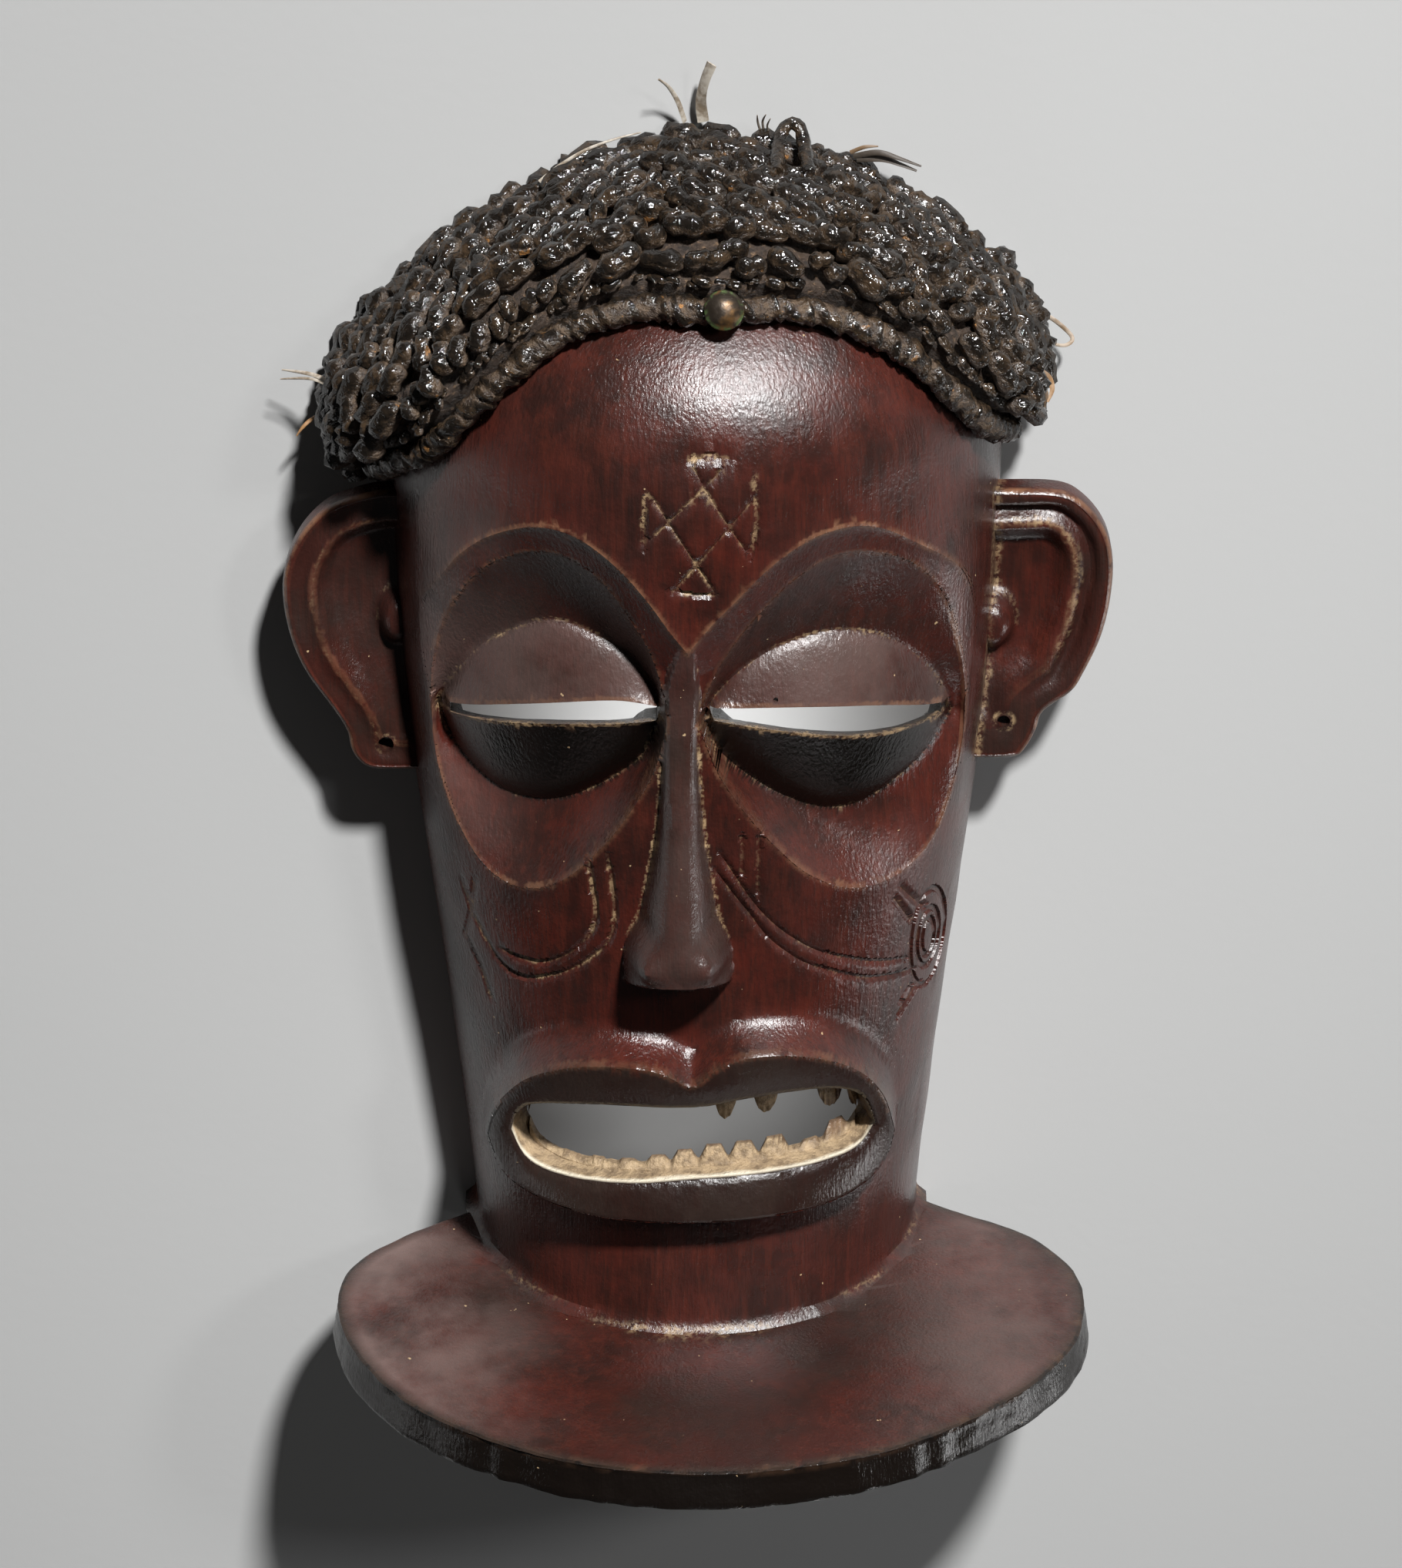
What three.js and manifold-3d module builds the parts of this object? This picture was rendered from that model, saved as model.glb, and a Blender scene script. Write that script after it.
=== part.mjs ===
// A carved wooden face mask with a disc beard and a knotted fibre wig, lying on its back.
// X runs across the face, Y from the beard to the crown and Z up out of the face, in millimetres.
// Y = 0 is where the chin meets the beard, and Z = 0 is the plane of the back rim.
import * as THREE from 'three';
import { mergeVertices } from 'three/addons/utils/BufferGeometryUtils.js';
import Module from 'manifold-3d';

const wasm = await Module();
wasm.setup();

// The face is a trough, half a rounded tube, closed above by half a dome.
// Each list gives [height up the face, value].
const FACE = {
  halfWidth: [[-20, 60.5], [0, 61], [44, 65], [92, 70], [144, 76], [185, 79], [224, 80.5], [245, 80.7]],
  depth: [[-20, 68.5], [0, 68], [20, 66], [45, 65], [70, 66], [110, 69], [150, 73.5], [190, 79], [222, 84],
    [245, 86]],
  squareness: [[-20, 2.1], [0, 2.1], [60, 2.25], [150, 2.45], [200, 2.35], [245, 2]],
  crownRise: 64,
};
const HOLLOW = {
  halfWidth: [[-20, 52], [44, 56.5], [92, 61.5], [144, 67.5], [185, 70.5], [245, 72]],
  depth: [[-20, 54], [60, 57], [110, 58], [150, 56], [195, 57], [225, 66], [245, 72]],
  squareness: FACE.squareness,
  crownRise: 55,
};
const CROWN_START = 245;
const CROWN_POWER = 2.1;
const HOLLOW_FLOOR = 8;
const GAP = 0.3;
// How finely the trough is divided: round the section, up the face and over the crown.
const FACE_STEPS = { sides: 20, rows: 12 };
const HOLLOW_STEPS = { sides: 12, rows: 6 };
const CROWN_STEPS = [0.2, 0.4, 0.58, 0.74, 0.87, 0.96];

const BEARD_THICKNESS = 10.5;
const BEARD_DROOP = THREE.MathUtils.degToRad(5);
const BEARD_FRONT = 62;
const BEARD_EDGE = 0.8;
const BEARD_FLARE = 1.6;
const BEARD_OUTLINE = [
  [-57, 0], [-63, 10.5], [-80, 22.5], [-93, 35], [-98, 51], [-95, 70], [-87, 87], [-73, 104], [-53, 118],
  [-28, 128], [0, 131], [24, 129.5], [50, 122], [74, 107.5], [92, 90], [103, 72], [106.2, 54],
  [103.5, 38.5], [92, 22.5], [70, 9], [57, 0],
];

// Each eye is cut as a deep socket with a bevel under the brow, and a coffee-bean eye rises in it.
// Every line runs from the outer corner to the inner one.
const LEFT_EYE = {
  socketTop: [[-69, 176], [-68, 190], [-62, 208.5], [-52, 223], [-38, 229.3], [-25, 225], [-15, 210.5],
    [-9.5, 197], [-7.3, 184]],
  socketBottom: [[-69, 176], [-68, 160], [-63.5, 145], [-56, 133.5], [-47, 129.8], [-36, 133.5], [-25, 145],
    [-17, 157], [-10.6, 170], [-7.3, 184]],
  lidTop: [[-67.5, 174], [-61, 187], [-52, 198], [-36, 206.5], [-20, 201], [-12.6, 193], [-8.6, 184.5]],
  lidBottom: [[-67.5, 174], [-64.6, 165.5], [-59, 158.5], [-51, 153.2], [-40, 152], [-29, 156.3], [-19, 164],
    [-13, 171], [-8.6, 184.5]],
  slitTop: [[-64, 176.8], [-50, 182.2], [-35, 186], [-20, 188], [-9, 186.2]],
  slitBottom: [[-64, 174], [-50, 177], [-35, 179.6], [-20, 181], [-9, 182.2]],
};
const RIGHT_EYE = {
  socketTop: [[70.5, 176], [69, 190], [64, 209], [56, 221.5], [47, 227], [36, 228.8], [25, 223.8], [14, 212],
    [5.5, 198], [0.8, 184]],
  socketBottom: [[70.5, 176], [70, 163], [67.5, 150], [62, 137.5], [53, 131.2], [42, 130.6], [31, 136],
    [22, 145], [13, 157], [6, 169], [0.8, 184]],
  lidTop: [[66.8, 171.5], [64, 181], [58, 190.5], [49.5, 198.8], [36, 203.3], [23, 201.3], [13.5, 196.3],
    [6, 189.3], [2, 182.5]],
  lidBottom: [[66.8, 171.5], [60, 161.8], [52, 155.5], [44, 151.2], [36, 150.3], [28, 152.8], [19.5, 158],
    [11.5, 165], [5.5, 172.5], [2, 182.5]],
  slitTop: [[64, 176.6], [50, 182], [36, 184.7], [20, 186], [3.5, 186]],
  slitBottom: [[64, 173.6], [50, 174], [36, 176], [20, 179.3], [3.5, 182.6]],
};
const SLIT_DEPTH = 5;
const LID_RELIEF = 8.5;
const BEVEL_WIDTH = 6.8;
const BEVEL_SLOPE = 0.44;
const SLIT_REACH = { inward: 45, outward: 15 };
const SLIT_SLANT = Math.tan(THREE.MathUtils.degToRad(12));
const EYE_WALL = 4.5;

// The nose: [height, half width at the cheek, half width of the ridge, height of the ridge over Z = 0].
const NOSE = [
  [197, 2.2, 1.2, 79.6], [184, 3.8, 2.2, 79.6], [168, 4.6, 2.4, 81], [150, 6.2, 2.6, 83.4],
  [134, 8.4, 3.2, 85.8], [124, 10.8, 4.6, 87.4], [117, 13.6, 6, 88.4], [113, 13.6, 6.4, 87],
];
const NOSE_MIDDLE = [[112, -4.7], [150, -4], [197, -3.4]];
const NOSE_UNDERCUT = [[112, 0.36], [124, 0.16], [150, 0], [197, 0]];

// The mouth: two lines each from the left corner to the right one.
const LIP_TOP = [[-57, 49], [-54.8, 58], [-50, 68], [-43.6, 76], [-33, 82], [-21, 84.2], [-10, 83.3],
  [-1, 79.2], [5.5, 84.2], [14, 87.6], [25, 87.2], [36, 83.4], [44.5, 76.6], [50.5, 66], [53.6, 53]];
const LIP_BOTTOM = [[-57, 49], [-53, 40.8], [-46, 38], [-34, 37], [-18, 37], [0, 37.4], [20, 38], [36, 38.7],
  [46, 41], [51.5, 45.5], [53.6, 53]];
const MOUTH_TOP = [[-49.6, 54], [-47.6, 61], [-41.5, 66.5], [-25, 70.5], [0, 71.4], [12, 73.4], [25, 74.4],
  [37, 73], [44.5, 67.5], [47.8, 57]];
const MOUTH_BOTTOM = [[-49.6, 54], [-45.6, 46.8], [-36, 45], [-17, 46], [0, 47.8], [20, 48.3], [34, 48.8],
  [43.5, 50.5], [47.8, 57]];
const LIP_RISE = 11;
const LIP_INNER_RISE = 8;
const MOUTH_WALL = 16;
const MOUTH_TAPER = 0.86;
const MOUTH_MIDDLE = [-1, 59.5];
const LIP_ROOT = 58;
// The teeth that are left: [place across the face, width, height].
const LOWER_TEETH = [[-33, 6, 0.4], [-26, 4, 0.6], [-18, 6, 0.6], [-10, 6.4, 1.4], [-3, 6.6, 2],
  [4.8, 7, 2.6], [12.8, 7.2, 2.6], [21, 7.4, 2.8], [30.5, 7.6, 2.2], [37.5, 5.4, 2.6]];
const UPPER_TEETH = [[8, 5, 4.6], [18.7, 5.6, 4.8], [35, 6, 4.4]];
const TOOTH_DEPTH = 4;
const TOOTH_ROOT = 4;

// The ears are flat lugs with a raised rim; each outline starts above, at the head.
const EAR_Z = { back: 16.4, edge: 19.4, groove: 22.8, rim: 25.4, fold: 25.6, floor: 20.4 };
const LEFT_EAR = {
  outline: [[-66, 226], [-79.7, 226.9], [-89, 225], [-97, 221.4], [-103.8, 213.8], [-107.9, 203.8],
    [-108.3, 193.6], [-106.2, 182.6], [-102.4, 173.7], [-96.6, 164.8], [-92.8, 158], [-91.6, 152.2],
    [-88.4, 147.9], [-82.8, 146.6], [-68, 147]],
  lobeHole: [-82.4, 154.2, 2.1],
  tragus: [-78, 191, 3.4, 8],
};
const RIGHT_EAR = {
  outline: [[66, 226.6], [79.5, 227.2], [94.5, 226.8], [101.6, 223], [107, 215.8], [109.3, 207],
    [109, 195.8], [106.8, 184.8], [102.6, 174.6], [99.4, 169.2], [92.3, 163.6], [90.4, 158], [87.6, 152.6],
    [84, 150.2], [68, 150]],
  lobeHole: [81.7, 161.1, 1.7],
  tragus: [78, 189, 3.8, 8],
};
const EAR_ROOT = 72;
const EAR_RIM = 5.6;
const EAR_FOLD = 1.8;

// The wig reaches from an arch over the forehead back to the rim.
const WIG_ARCH = [[-80.2, 229.6], [-73.5, 239.6], [-63.5, 250.5], [-47.5, 269.5], [-31, 282.5], [-14, 288.3],
  [3, 288.3], [20, 287.8], [35, 284], [50.5, 275], [62.5, 262], [71, 251.5], [78.5, 243.5]];
const WIG_RIM = [[-85.5, 228], [-94.5, 240], [-92.5, 256], [-80, 272], [-65, 287], [-46, 300], [-25, 310],
  [0, 316.5], [25, 312], [47, 304], [68, 290], [83, 275], [89, 262], [88, 251], [82, 243]];
const WIG_MIDDLE = [0, 236];
const WIG_FRONT = 10.5;
const WIG_SUNK = -6;
const KNOT_ROWS = 7;
const KNOTS_ACROSS = 18;
const KNOT_HEIGHT = 3.4;
const ROLL_RADIUS = 3.6;
// The roll's centre line over the face. Its straight steps sag toward the face between their ends.
const ROLL_LIFT = ROLL_RADIUS + 2 * GAP;
// The roll's ends stay at least this far above the back rim.
const LEAST_HEIGHT = 4.2;
const TACK_RADIUS = 5;
const TACK_AT = 0.555;
const TACK_TURN = THREE.MathUtils.degToRad(28);

const WOOD = new THREE.MeshStandardMaterial({ color: 0x3a1a12, roughness: 0.38 });
const FIBRE = new THREE.MeshStandardMaterial({ color: 0x2a1f19, roughness: 0.5 });
const BOUND_FIBRE = new THREE.MeshStandardMaterial({ color: 0x3b2a1e, roughness: 0.75 });
const BRASS = new THREE.MeshStandardMaterial({ color: 0x6b4a2a, roughness: 0.4, metalness: 0.9 });

const point = ([x, y], z) => new THREE.Vector3(x, y, z);
const { lerp } = THREE.MathUtils;

// A smooth value between the given [place, value] pairs.
function smooth(pairs) {
  const curve = new THREE.CubicInterpolant(pairs.map((p) => p[0]), pairs.map((p) => p[1]), 1);
  return (place) => curve.evaluate(place)[0];
}

// A smooth line through the given points, as a function of the fraction along it.
function line(points) {
  const curve = new THREE.SplineCurve(points.map(([x, y]) => new THREE.Vector2(x, y)));
  return (fraction) => curve.getPointAt(THREE.MathUtils.clamp(fraction, 0, 1)).toArray();
}

// The smooth outer or inner form of the face, grown outward by a given amount.
function trough(form, grow = 0) {
  const halfWidth = smooth(form.halfWidth);
  const depth = smooth(form.depth);
  const squareness = smooth(form.squareness);
  const rise = form.crownRise + grow;
  const section = (y) => {
    const up = THREE.MathUtils.clamp((y - CROWN_START) / rise, 0, 1);
    const shrink = Math.sqrt(1 - up ** CROWN_POWER);
    const low = Math.min(y, CROWN_START);
    return [(halfWidth(low) + grow) * shrink, (depth(low) + grow) * shrink, squareness(low)];
  };
  const height = (x, y) => {
    const [w, d, p] = section(y);
    return d * Math.max(0, 1 - Math.abs(x / w) ** p) ** (1 / p);
  };
  return { section, height, rise };
}

const face = trough(FACE);
const hollow = trough(HOLLOW);

// Turns a closed geometry into a solid that can be joined and cut.
function solid(geometry) {
  geometry.deleteAttribute('normal');
  geometry.deleteAttribute('uv');
  const merged = mergeVertices(geometry, 1e-4);
  const vertProperties = new Float32Array(merged.attributes.position.array);
  const triVerts = new Uint32Array(merged.index.array);
  return new wasm.Manifold(new wasm.Mesh({ numProp: 3, vertProperties, triVerts }));
}

function signedVolume(geometry) {
  const [a, b, c] = [new THREE.Vector3(), new THREE.Vector3(), new THREE.Vector3()];
  const { position } = geometry.attributes;
  const corners = geometry.index.array;
  let sum = 0;
  for (let i = 0; i < corners.length; i += 3) {
    a.fromBufferAttribute(position, corners[i]);
    b.fromBufferAttribute(position, corners[i + 1]);
    c.fromBufferAttribute(position, corners[i + 2]);
    sum += a.dot(b.cross(c));
  }
  return sum / 6;
}

// A closed loft: a capped cylinder whose rings of points are moved to the given sections.
function loft(rings, firstCentre, lastCentre) {
  const sides = rings[0].length;
  const steps = rings.length - 1;
  const middle = (ring) => ring.reduce((sum, p) => sum.add(p), new THREE.Vector3()).divideScalar(sides);
  const ends = [firstCentre ?? middle(rings[0]), lastCentre ?? middle(rings[steps])];
  const geometry = new THREE.CylinderGeometry(1, 1, steps, sides, steps);
  const { position } = geometry.attributes;
  for (let i = 0; i < position.count; i += 1) {
    const ring = Math.round(steps / 2 - position.getY(i));
    const turn = Math.atan2(position.getX(i), position.getZ(i)) / (2 * Math.PI);
    const side = (Math.round(turn * sides) + sides) % sides;
    const onAxis = Math.hypot(position.getX(i), position.getZ(i)) < 0.5;
    const target = onAxis ? ends[ring === 0 ? 0 : 1] : rings[ring][side];
    position.setXYZ(i, target.x, target.y, target.z);
  }
  if (signedVolume(geometry) < 0) {
    geometry.index.array.reverse();
  }
  return solid(geometry);
}

// Evenly spaced values, both ends included.
function steps(count, from = 0, to = 1) {
  return Array.from({ length: count + 1 }, (_, i) => lerp(from, to, i / count));
}

// The trough as a solid, from a lowest height to the crown, with its flat back at a given depth.
function troughSolid(form, lowest, back, { rows, sides }) {
  const crown = CROWN_STEPS.map((part) => CROWN_START + form.rise * part);
  const heights = [...steps(rows, lowest, CROWN_START), ...crown];
  const rings = heights.map((y) => {
    const [w, d, p] = form.section(y);
    const ring = steps(sides, -Math.PI / 2, Math.PI / 2).map((a) => {
      const x = w * Math.sign(a) * Math.abs(Math.sin(a)) ** (2 / p);
      return new THREE.Vector3(x, y, d * Math.max(0, Math.cos(a)) ** (2 / p));
    });
    if (back < 0) {
      ring.unshift(new THREE.Vector3(-w, y, back));
      ring.push(new THREE.Vector3(w, y, back));
    }
    return ring;
  });
  return loft(rings, null, new THREE.Vector3(0, CROWN_START + form.rise, 0));
}

// Outward direction, across a closed line of points in the XY plane, at each point.
function outward(points) {
  const area = points.reduce((sum, [x, y], i) => {
    const [nx, ny] = points[(i + 1) % points.length];
    return sum + x * ny - nx * y;
  }, 0);
  return points.map((_, i) => {
    const [ax, ay] = points[(i + points.length - 1) % points.length];
    const [bx, by] = points[(i + 1) % points.length];
    const along = new THREE.Vector2(bx - ax, by - ay).normalize().multiplyScalar(Math.sign(area));
    return [along.y, -along.x];
  });
}

const shifted = ([x, y], [nx, ny], by) => [x + nx * by, y + ny * by];
const between = (a, b, t) => [lerp(a[0], b[0], t), lerp(a[1], b[1], t)];

// A closed line made of an upper and a lower line that share their end points.
function closedLine(upper, lower, count) {
  const [top, bottom] = [line(upper), line(lower)];
  return [...steps(count).slice(0, -1).map(top), ...steps(count).slice(0, -1).map((f) => bottom(1 - f))];
}

// Depth of the slit ridge and of the valley round the eye under the face, along the eye.
const ridgeDepth = (f) => SLIT_DEPTH + 1.6 * (f - 0.5) + 0.8 * (2 * f - 1) ** 4;
const valleyDepth = (f) => ridgeDepth(f) + LID_RELIEF * Math.sin(Math.PI * (0.04 + 0.92 * f)) ** 0.55;

function socketCutter(eye) {
  const count = 13;
  const rim = closedLine(eye.socketTop, eye.socketBottom, count);
  const lid = closedLine(eye.lidTop, eye.lidBottom, count);
  const normals = outward(rim);
  const along = rim.map((_, k) => (k < count ? k / count : 2 - k / count));
  const bevel = normals.map(([, ny]) => 1.2 + BEVEL_WIDTH * Math.max(0, ny) ** 0.7);
  const ring = (place, depth) => rim.map((_, k) => {
    const [x, y] = place(k);
    return new THREE.Vector3(x, y, face.height(x, y) - depth(k));
  });
  const crest = (k) => shifted(rim[k], normals[k], 1.3 * bevel[k]);
  const bowl = (t) => ring(
    (k) => between(rim[k], lid[k], t),
    (k) => lerp(bevel[k] * BEVEL_SLOPE, valleyDepth(along[k]), 1 - (1 - t) ** 1.7),
  );
  const middle = between(line(eye.slitTop)(0.5), line(eye.slitBottom)(0.5), 0.5);
  const rings = [
    rim.map((_, k) => point(crest(k), 130)),
    ring(crest, (k) => -0.3 * bevel[k] * BEVEL_SLOPE),
    bowl(0),
    bowl(0.3),
    bowl(0.65),
    bowl(1),
  ];
  return loft(rings, null, point(middle, face.height(...middle) - valleyDepth(0.5)));
}

// The bean-shaped eye. The same form, set deeper and drawn in, hollows the wood behind it.
function eyeball(eye, { from, to, count, sunk, drawnIn, underside }) {
  const lines = Object.fromEntries(Object.entries(eye).map(([name, points]) => [name, line(points)]));
  const rings = steps(count, from, to).map((f) => {
    const [ridge, valley] = [ridgeDepth(f) + sunk, valleyDepth(f) + sunk];
    const place = (xy, depth) => point(xy, face.height(...xy) - depth);
    const flank = (lid, slit) => [0, 0.3, 0.65].map((t) => {
      const xy = between(between(lid, slit, drawnIn), slit, t);
      return place(xy, lerp(valley, ridge, t ** 0.75));
    });
    const [top, bottom] = [lines.slitTop(f), lines.slitBottom(f)];
    const upper = flank(lines.lidTop(f), top);
    const lower = flank(lines.lidBottom(f), bottom).reverse();
    const under = [lower[2], upper[0]].map((p) => new THREE.Vector3(p.x, p.y, p.z - underside));
    return [...upper, place(top, ridge), place(bottom, ridge + 0.5), ...lower, ...under];
  });
  return loft(rings);
}

function slitCutter(eye) {
  const [top, bottom] = [line(eye.slitTop), line(eye.slitBottom)];
  const rings = steps(6, 0.04, 0.97).map((f) => [[top(f), 1], [bottom(f), -1]].flatMap(([xy, side]) => {
    const z = face.height(...xy) - ridgeDepth(f);
    const at = (dz) => new THREE.Vector3(xy[0], xy[1] + dz * SLIT_SLANT, z + dz);
    const [inner, outer] = [at(-SLIT_REACH.inward), at(SLIT_REACH.outward)];
    return side > 0 ? [inner, outer] : [outer, inner];
  }));
  return loft(rings);
}

function nose() {
  const [middle, undercut] = [smooth(NOSE_MIDDLE), smooth(NOSE_UNDERCUT)];
  // Each pair is [part of the half width from ridge to cheek, part of the height over the cheek].
  const side = [[1, -0.4], [1, 0.14], [0.86, 0.36], [0.5, 0.68], [0, 1]];
  const rings = NOSE.map(([y, base, ridge, top]) => {
    const cheek = face.height(middle(y), y);
    const rise = Math.max(top - cheek, 0.6);
    const at = (sign) => ([out, up]) => {
      const z = cheek + rise * up - (up < 0 ? 2.5 : 0);
      return new THREE.Vector3(middle(y) + sign * lerp(ridge, base, out), y - (top - z) * undercut(y), z);
    };
    return [...side.map(at(-1)), ...side.map(at(1)).reverse()];
  });
  return loft(rings);
}

// The lips stand out as a box round the mouth, flared above and undercut below.
function lips() {
  const count = 14;
  const edge = closedLine(LIP_TOP, LIP_BOTTOM, count);
  const opening = closedLine(MOUTH_TOP, MOUTH_BOTTOM, count);
  const normals = outward(edge);
  const flare = normals.map(([nx, ny]) => (ny > 0 ? 1.5 + 9.5 * ny ** 1.5 : -1 + 2.5 * Math.abs(nx)));
  const ring = (place, rise) => edge.map((_, k) => {
    const [x, y] = place(k);
    return new THREE.Vector3(x, y, face.height(x, y) + rise);
  });
  const rings = [
    ring((k) => shifted(edge[k], normals[k], flare[k]), -1.6),
    ring((k) => shifted(edge[k], normals[k], 0.3 * flare[k]), 4.5),
    ring((k) => edge[k], LIP_RISE),
    ring((k) => between(edge[k], opening[k], 0.2), LIP_RISE + 0.2),
    ring((k) => opening[k], LIP_INNER_RISE),
  ];
  return loft(rings, point(MOUTH_MIDDLE, LIP_ROOT), point(MOUTH_MIDDLE, LIP_ROOT + LIP_RISE));
}

function mouthCutter() {
  const opening = closedLine(MOUTH_TOP, MOUTH_BOTTOM, 12);
  const inner = opening.map((xy) => between(MOUTH_MIDDLE, xy, MOUTH_TAPER));
  const front = opening.map((xy) => point(xy, 100));
  const edge = opening.map((xy) => point(xy, face.height(...xy) + LIP_INNER_RISE - 2));
  const throat = inner.map((xy, k) => point(xy, edge[k].z - MOUTH_WALL));
  return loft([front, edge, throat, inner.map((xy) => point(xy, 5))]);
}

function tooth(x, width, height, up) {
  const geometry = new THREE.CylinderGeometry(0.3 * width, 0.7 * width, height + TOOTH_ROOT, 4, 1);
  geometry.rotateY(Math.PI / 4);
  geometry.scale(1, 1, TOOTH_DEPTH / width);
  if (!up) {
    geometry.rotateZ(Math.PI);
  }
  const gum = up ? MOUTH_BOTTOM : MOUTH_TOP;
  const places = steps(60).map(line(gum));
  const crossing = places.reduce((a, b) => (Math.abs(b[0] - x) < Math.abs(a[0] - x) ? b : a));
  const edge = lerp(MOUTH_MIDDLE[1], crossing[1], up ? MOUTH_TAPER : 1);
  const sign = up ? 1 : -1;
  const z = up ? hollow.height(x, edge) + 0.6 : face.height(x, edge) - 4;
  geometry.translate(x, edge + sign * (height - TOOTH_ROOT) / 2, z + TOOTH_DEPTH / 2);
  return solid(geometry);
}

// The flat lug of an ear, grown outward by a given amount.
function earLug({ outline }, grow = 0) {
  const shape = steps(16).map(line(outline));
  const normals = outward(shape);
  const head = Math.sign(shape[0][0]);
  // The rim narrows to nothing at the lobe.
  const inset = (k, by) => {
    const lobe = THREE.MathUtils.smoothstep(shape[k][1], 158, 176);
    return shifted(shape[k], normals[k], grow - by * (0.35 + 0.65 * lobe));
  };
  const drop = (k) => THREE.MathUtils.smoothstep(shape[k][1], 160, 182);
  const floor = (k) => lerp(EAR_Z.groove + 1.5, EAR_Z.floor, drop(k));
  const ring = (by, z) => shape.map((_, k) => point(inset(k, by), z(k) + grow));
  const rings = [
    ring(2, () => EAR_Z.back - 2 * grow),
    ring(0, () => EAR_Z.edge - 2 * grow),
    ring(0, () => EAR_Z.rim - 0.8),
    ring(1, () => EAR_Z.rim),
    ring(EAR_RIM, (k) => lerp(EAR_Z.rim, EAR_Z.groove, drop(k))),
    ring(EAR_RIM + EAR_FOLD, () => EAR_Z.fold),
    ring(EAR_RIM + 2 * EAR_FOLD, floor),
    shape.map((_, k) => point([head * EAR_ROOT, inset(k, 12)[1]], floor(k))),
  ];
  const middle = [head * EAR_ROOT, 190];
  return loft(rings, point(middle, EAR_Z.back - grow), point(middle, EAR_Z.floor + grow));
}

function ear(form) {
  const { lobeHole, tragus } = form;
  const hole = new THREE.CylinderGeometry(lobeHole[2], lobeHole[2], 40, 12);
  hole.rotateX(Math.PI / 2);
  hole.translate(lobeHole[0], lobeHole[1], 20);
  const bump = new THREE.SphereGeometry(1, 8, 6);
  bump.scale(tragus[2], tragus[3], 6);
  bump.translate(tragus[0], tragus[1], EAR_Z.floor + 1);
  return earLug(form).subtract(solid(hole)).add(solid(bump));
}

function beard() {
  const outline = steps(30).map(line(BEARD_OUTLINE));
  const normals = outward(outline);
  const ring = (inset, under) => outline.map((xz, k) => {
    const [x, z] = xz[1] > 0 ? shifted(xz, normals[k], -inset) : xz;
    return new THREE.Vector3(x, -(z - BEARD_FRONT) * Math.tan(BEARD_DROOP) - under, Math.max(0, z));
  });
  return loft([
    ring(BEARD_EDGE, 0),
    ring(0, BEARD_EDGE),
    ring(-BEARD_FLARE, BEARD_THICKNESS - BEARD_EDGE),
    ring(BEARD_EDGE - BEARD_FLARE, BEARD_THICKNESS),
  ]);
}

function carvedMask() {
  const eyes = [LEFT_EYE, RIGHT_EYE];
  const bean = { from: 0.02, to: 0.98, count: 10, sunk: 0, drawnIn: 0, underside: 9 };
  const behind = { from: 0.12, to: 0.9, count: 6, sunk: EYE_WALL, drawnIn: 0.18, underside: 40 };
  let wood = troughSolid(face, -4, 0, FACE_STEPS);
  for (const eye of eyes) {
    wood = wood.subtract(socketCutter(eye)).add(eyeball(eye, bean));
  }
  wood = wood.add(nose()).add(lips()).add(beard());
  wood = wood.add(ear(LEFT_EAR)).add(ear(RIGHT_EAR));
  wood = wood.subtract(troughSolid(hollow, HOLLOW_FLOOR, -5, HOLLOW_STEPS));
  for (const eye of eyes) {
    wood = wood.subtract(eyeball(eye, behind)).subtract(slitCutter(eye));
  }
  wood = wood.subtract(mouthCutter());
  for (const [x, width, height] of LOWER_TEETH) {
    wood = wood.add(tooth(x, width, height, true));
  }
  for (const [x, width, height] of UPPER_TEETH) {
    wood = wood.add(tooth(x, width, height, false));
  }
  return wood;
}

// A point over the smooth face, and the direction square to the face there.
function overFace([x, y], lift) {
  const reach = (px, py, pz) => {
    const [w, d, p] = face.section(py);
    return Math.abs(px / w) ** p + Math.abs(pz / d) ** p;
  };
  const z = Math.max(face.height(x, y), LEAST_HEIGHT);
  const e = 0.5;
  const normal = new THREE.Vector3(
    reach(x + e, y, z) - reach(x - e, y, z),
    reach(x, y + e, z) - reach(x, y - e, z),
    reach(x, y, z + e) - reach(x, y, z - e),
  ).normalize();
  return { at: new THREE.Vector3(x, y, z).addScaledVector(normal, lift), normal };
}

function rollSolid(radius) {
  const onFace = (xy) => overFace(xy, ROLL_LIFT).at;
  const path = new THREE.CatmullRomCurve3(steps(24).map(line(WIG_ARCH)).map(onFace));
  const shape = new THREE.Shape();
  shape.absarc(0, 0, radius, 0, 2 * Math.PI);
  return solid(new THREE.ExtrudeGeometry(shape, { extrudePath: path, steps: 26, curveSegments: 4 }));
}

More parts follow.
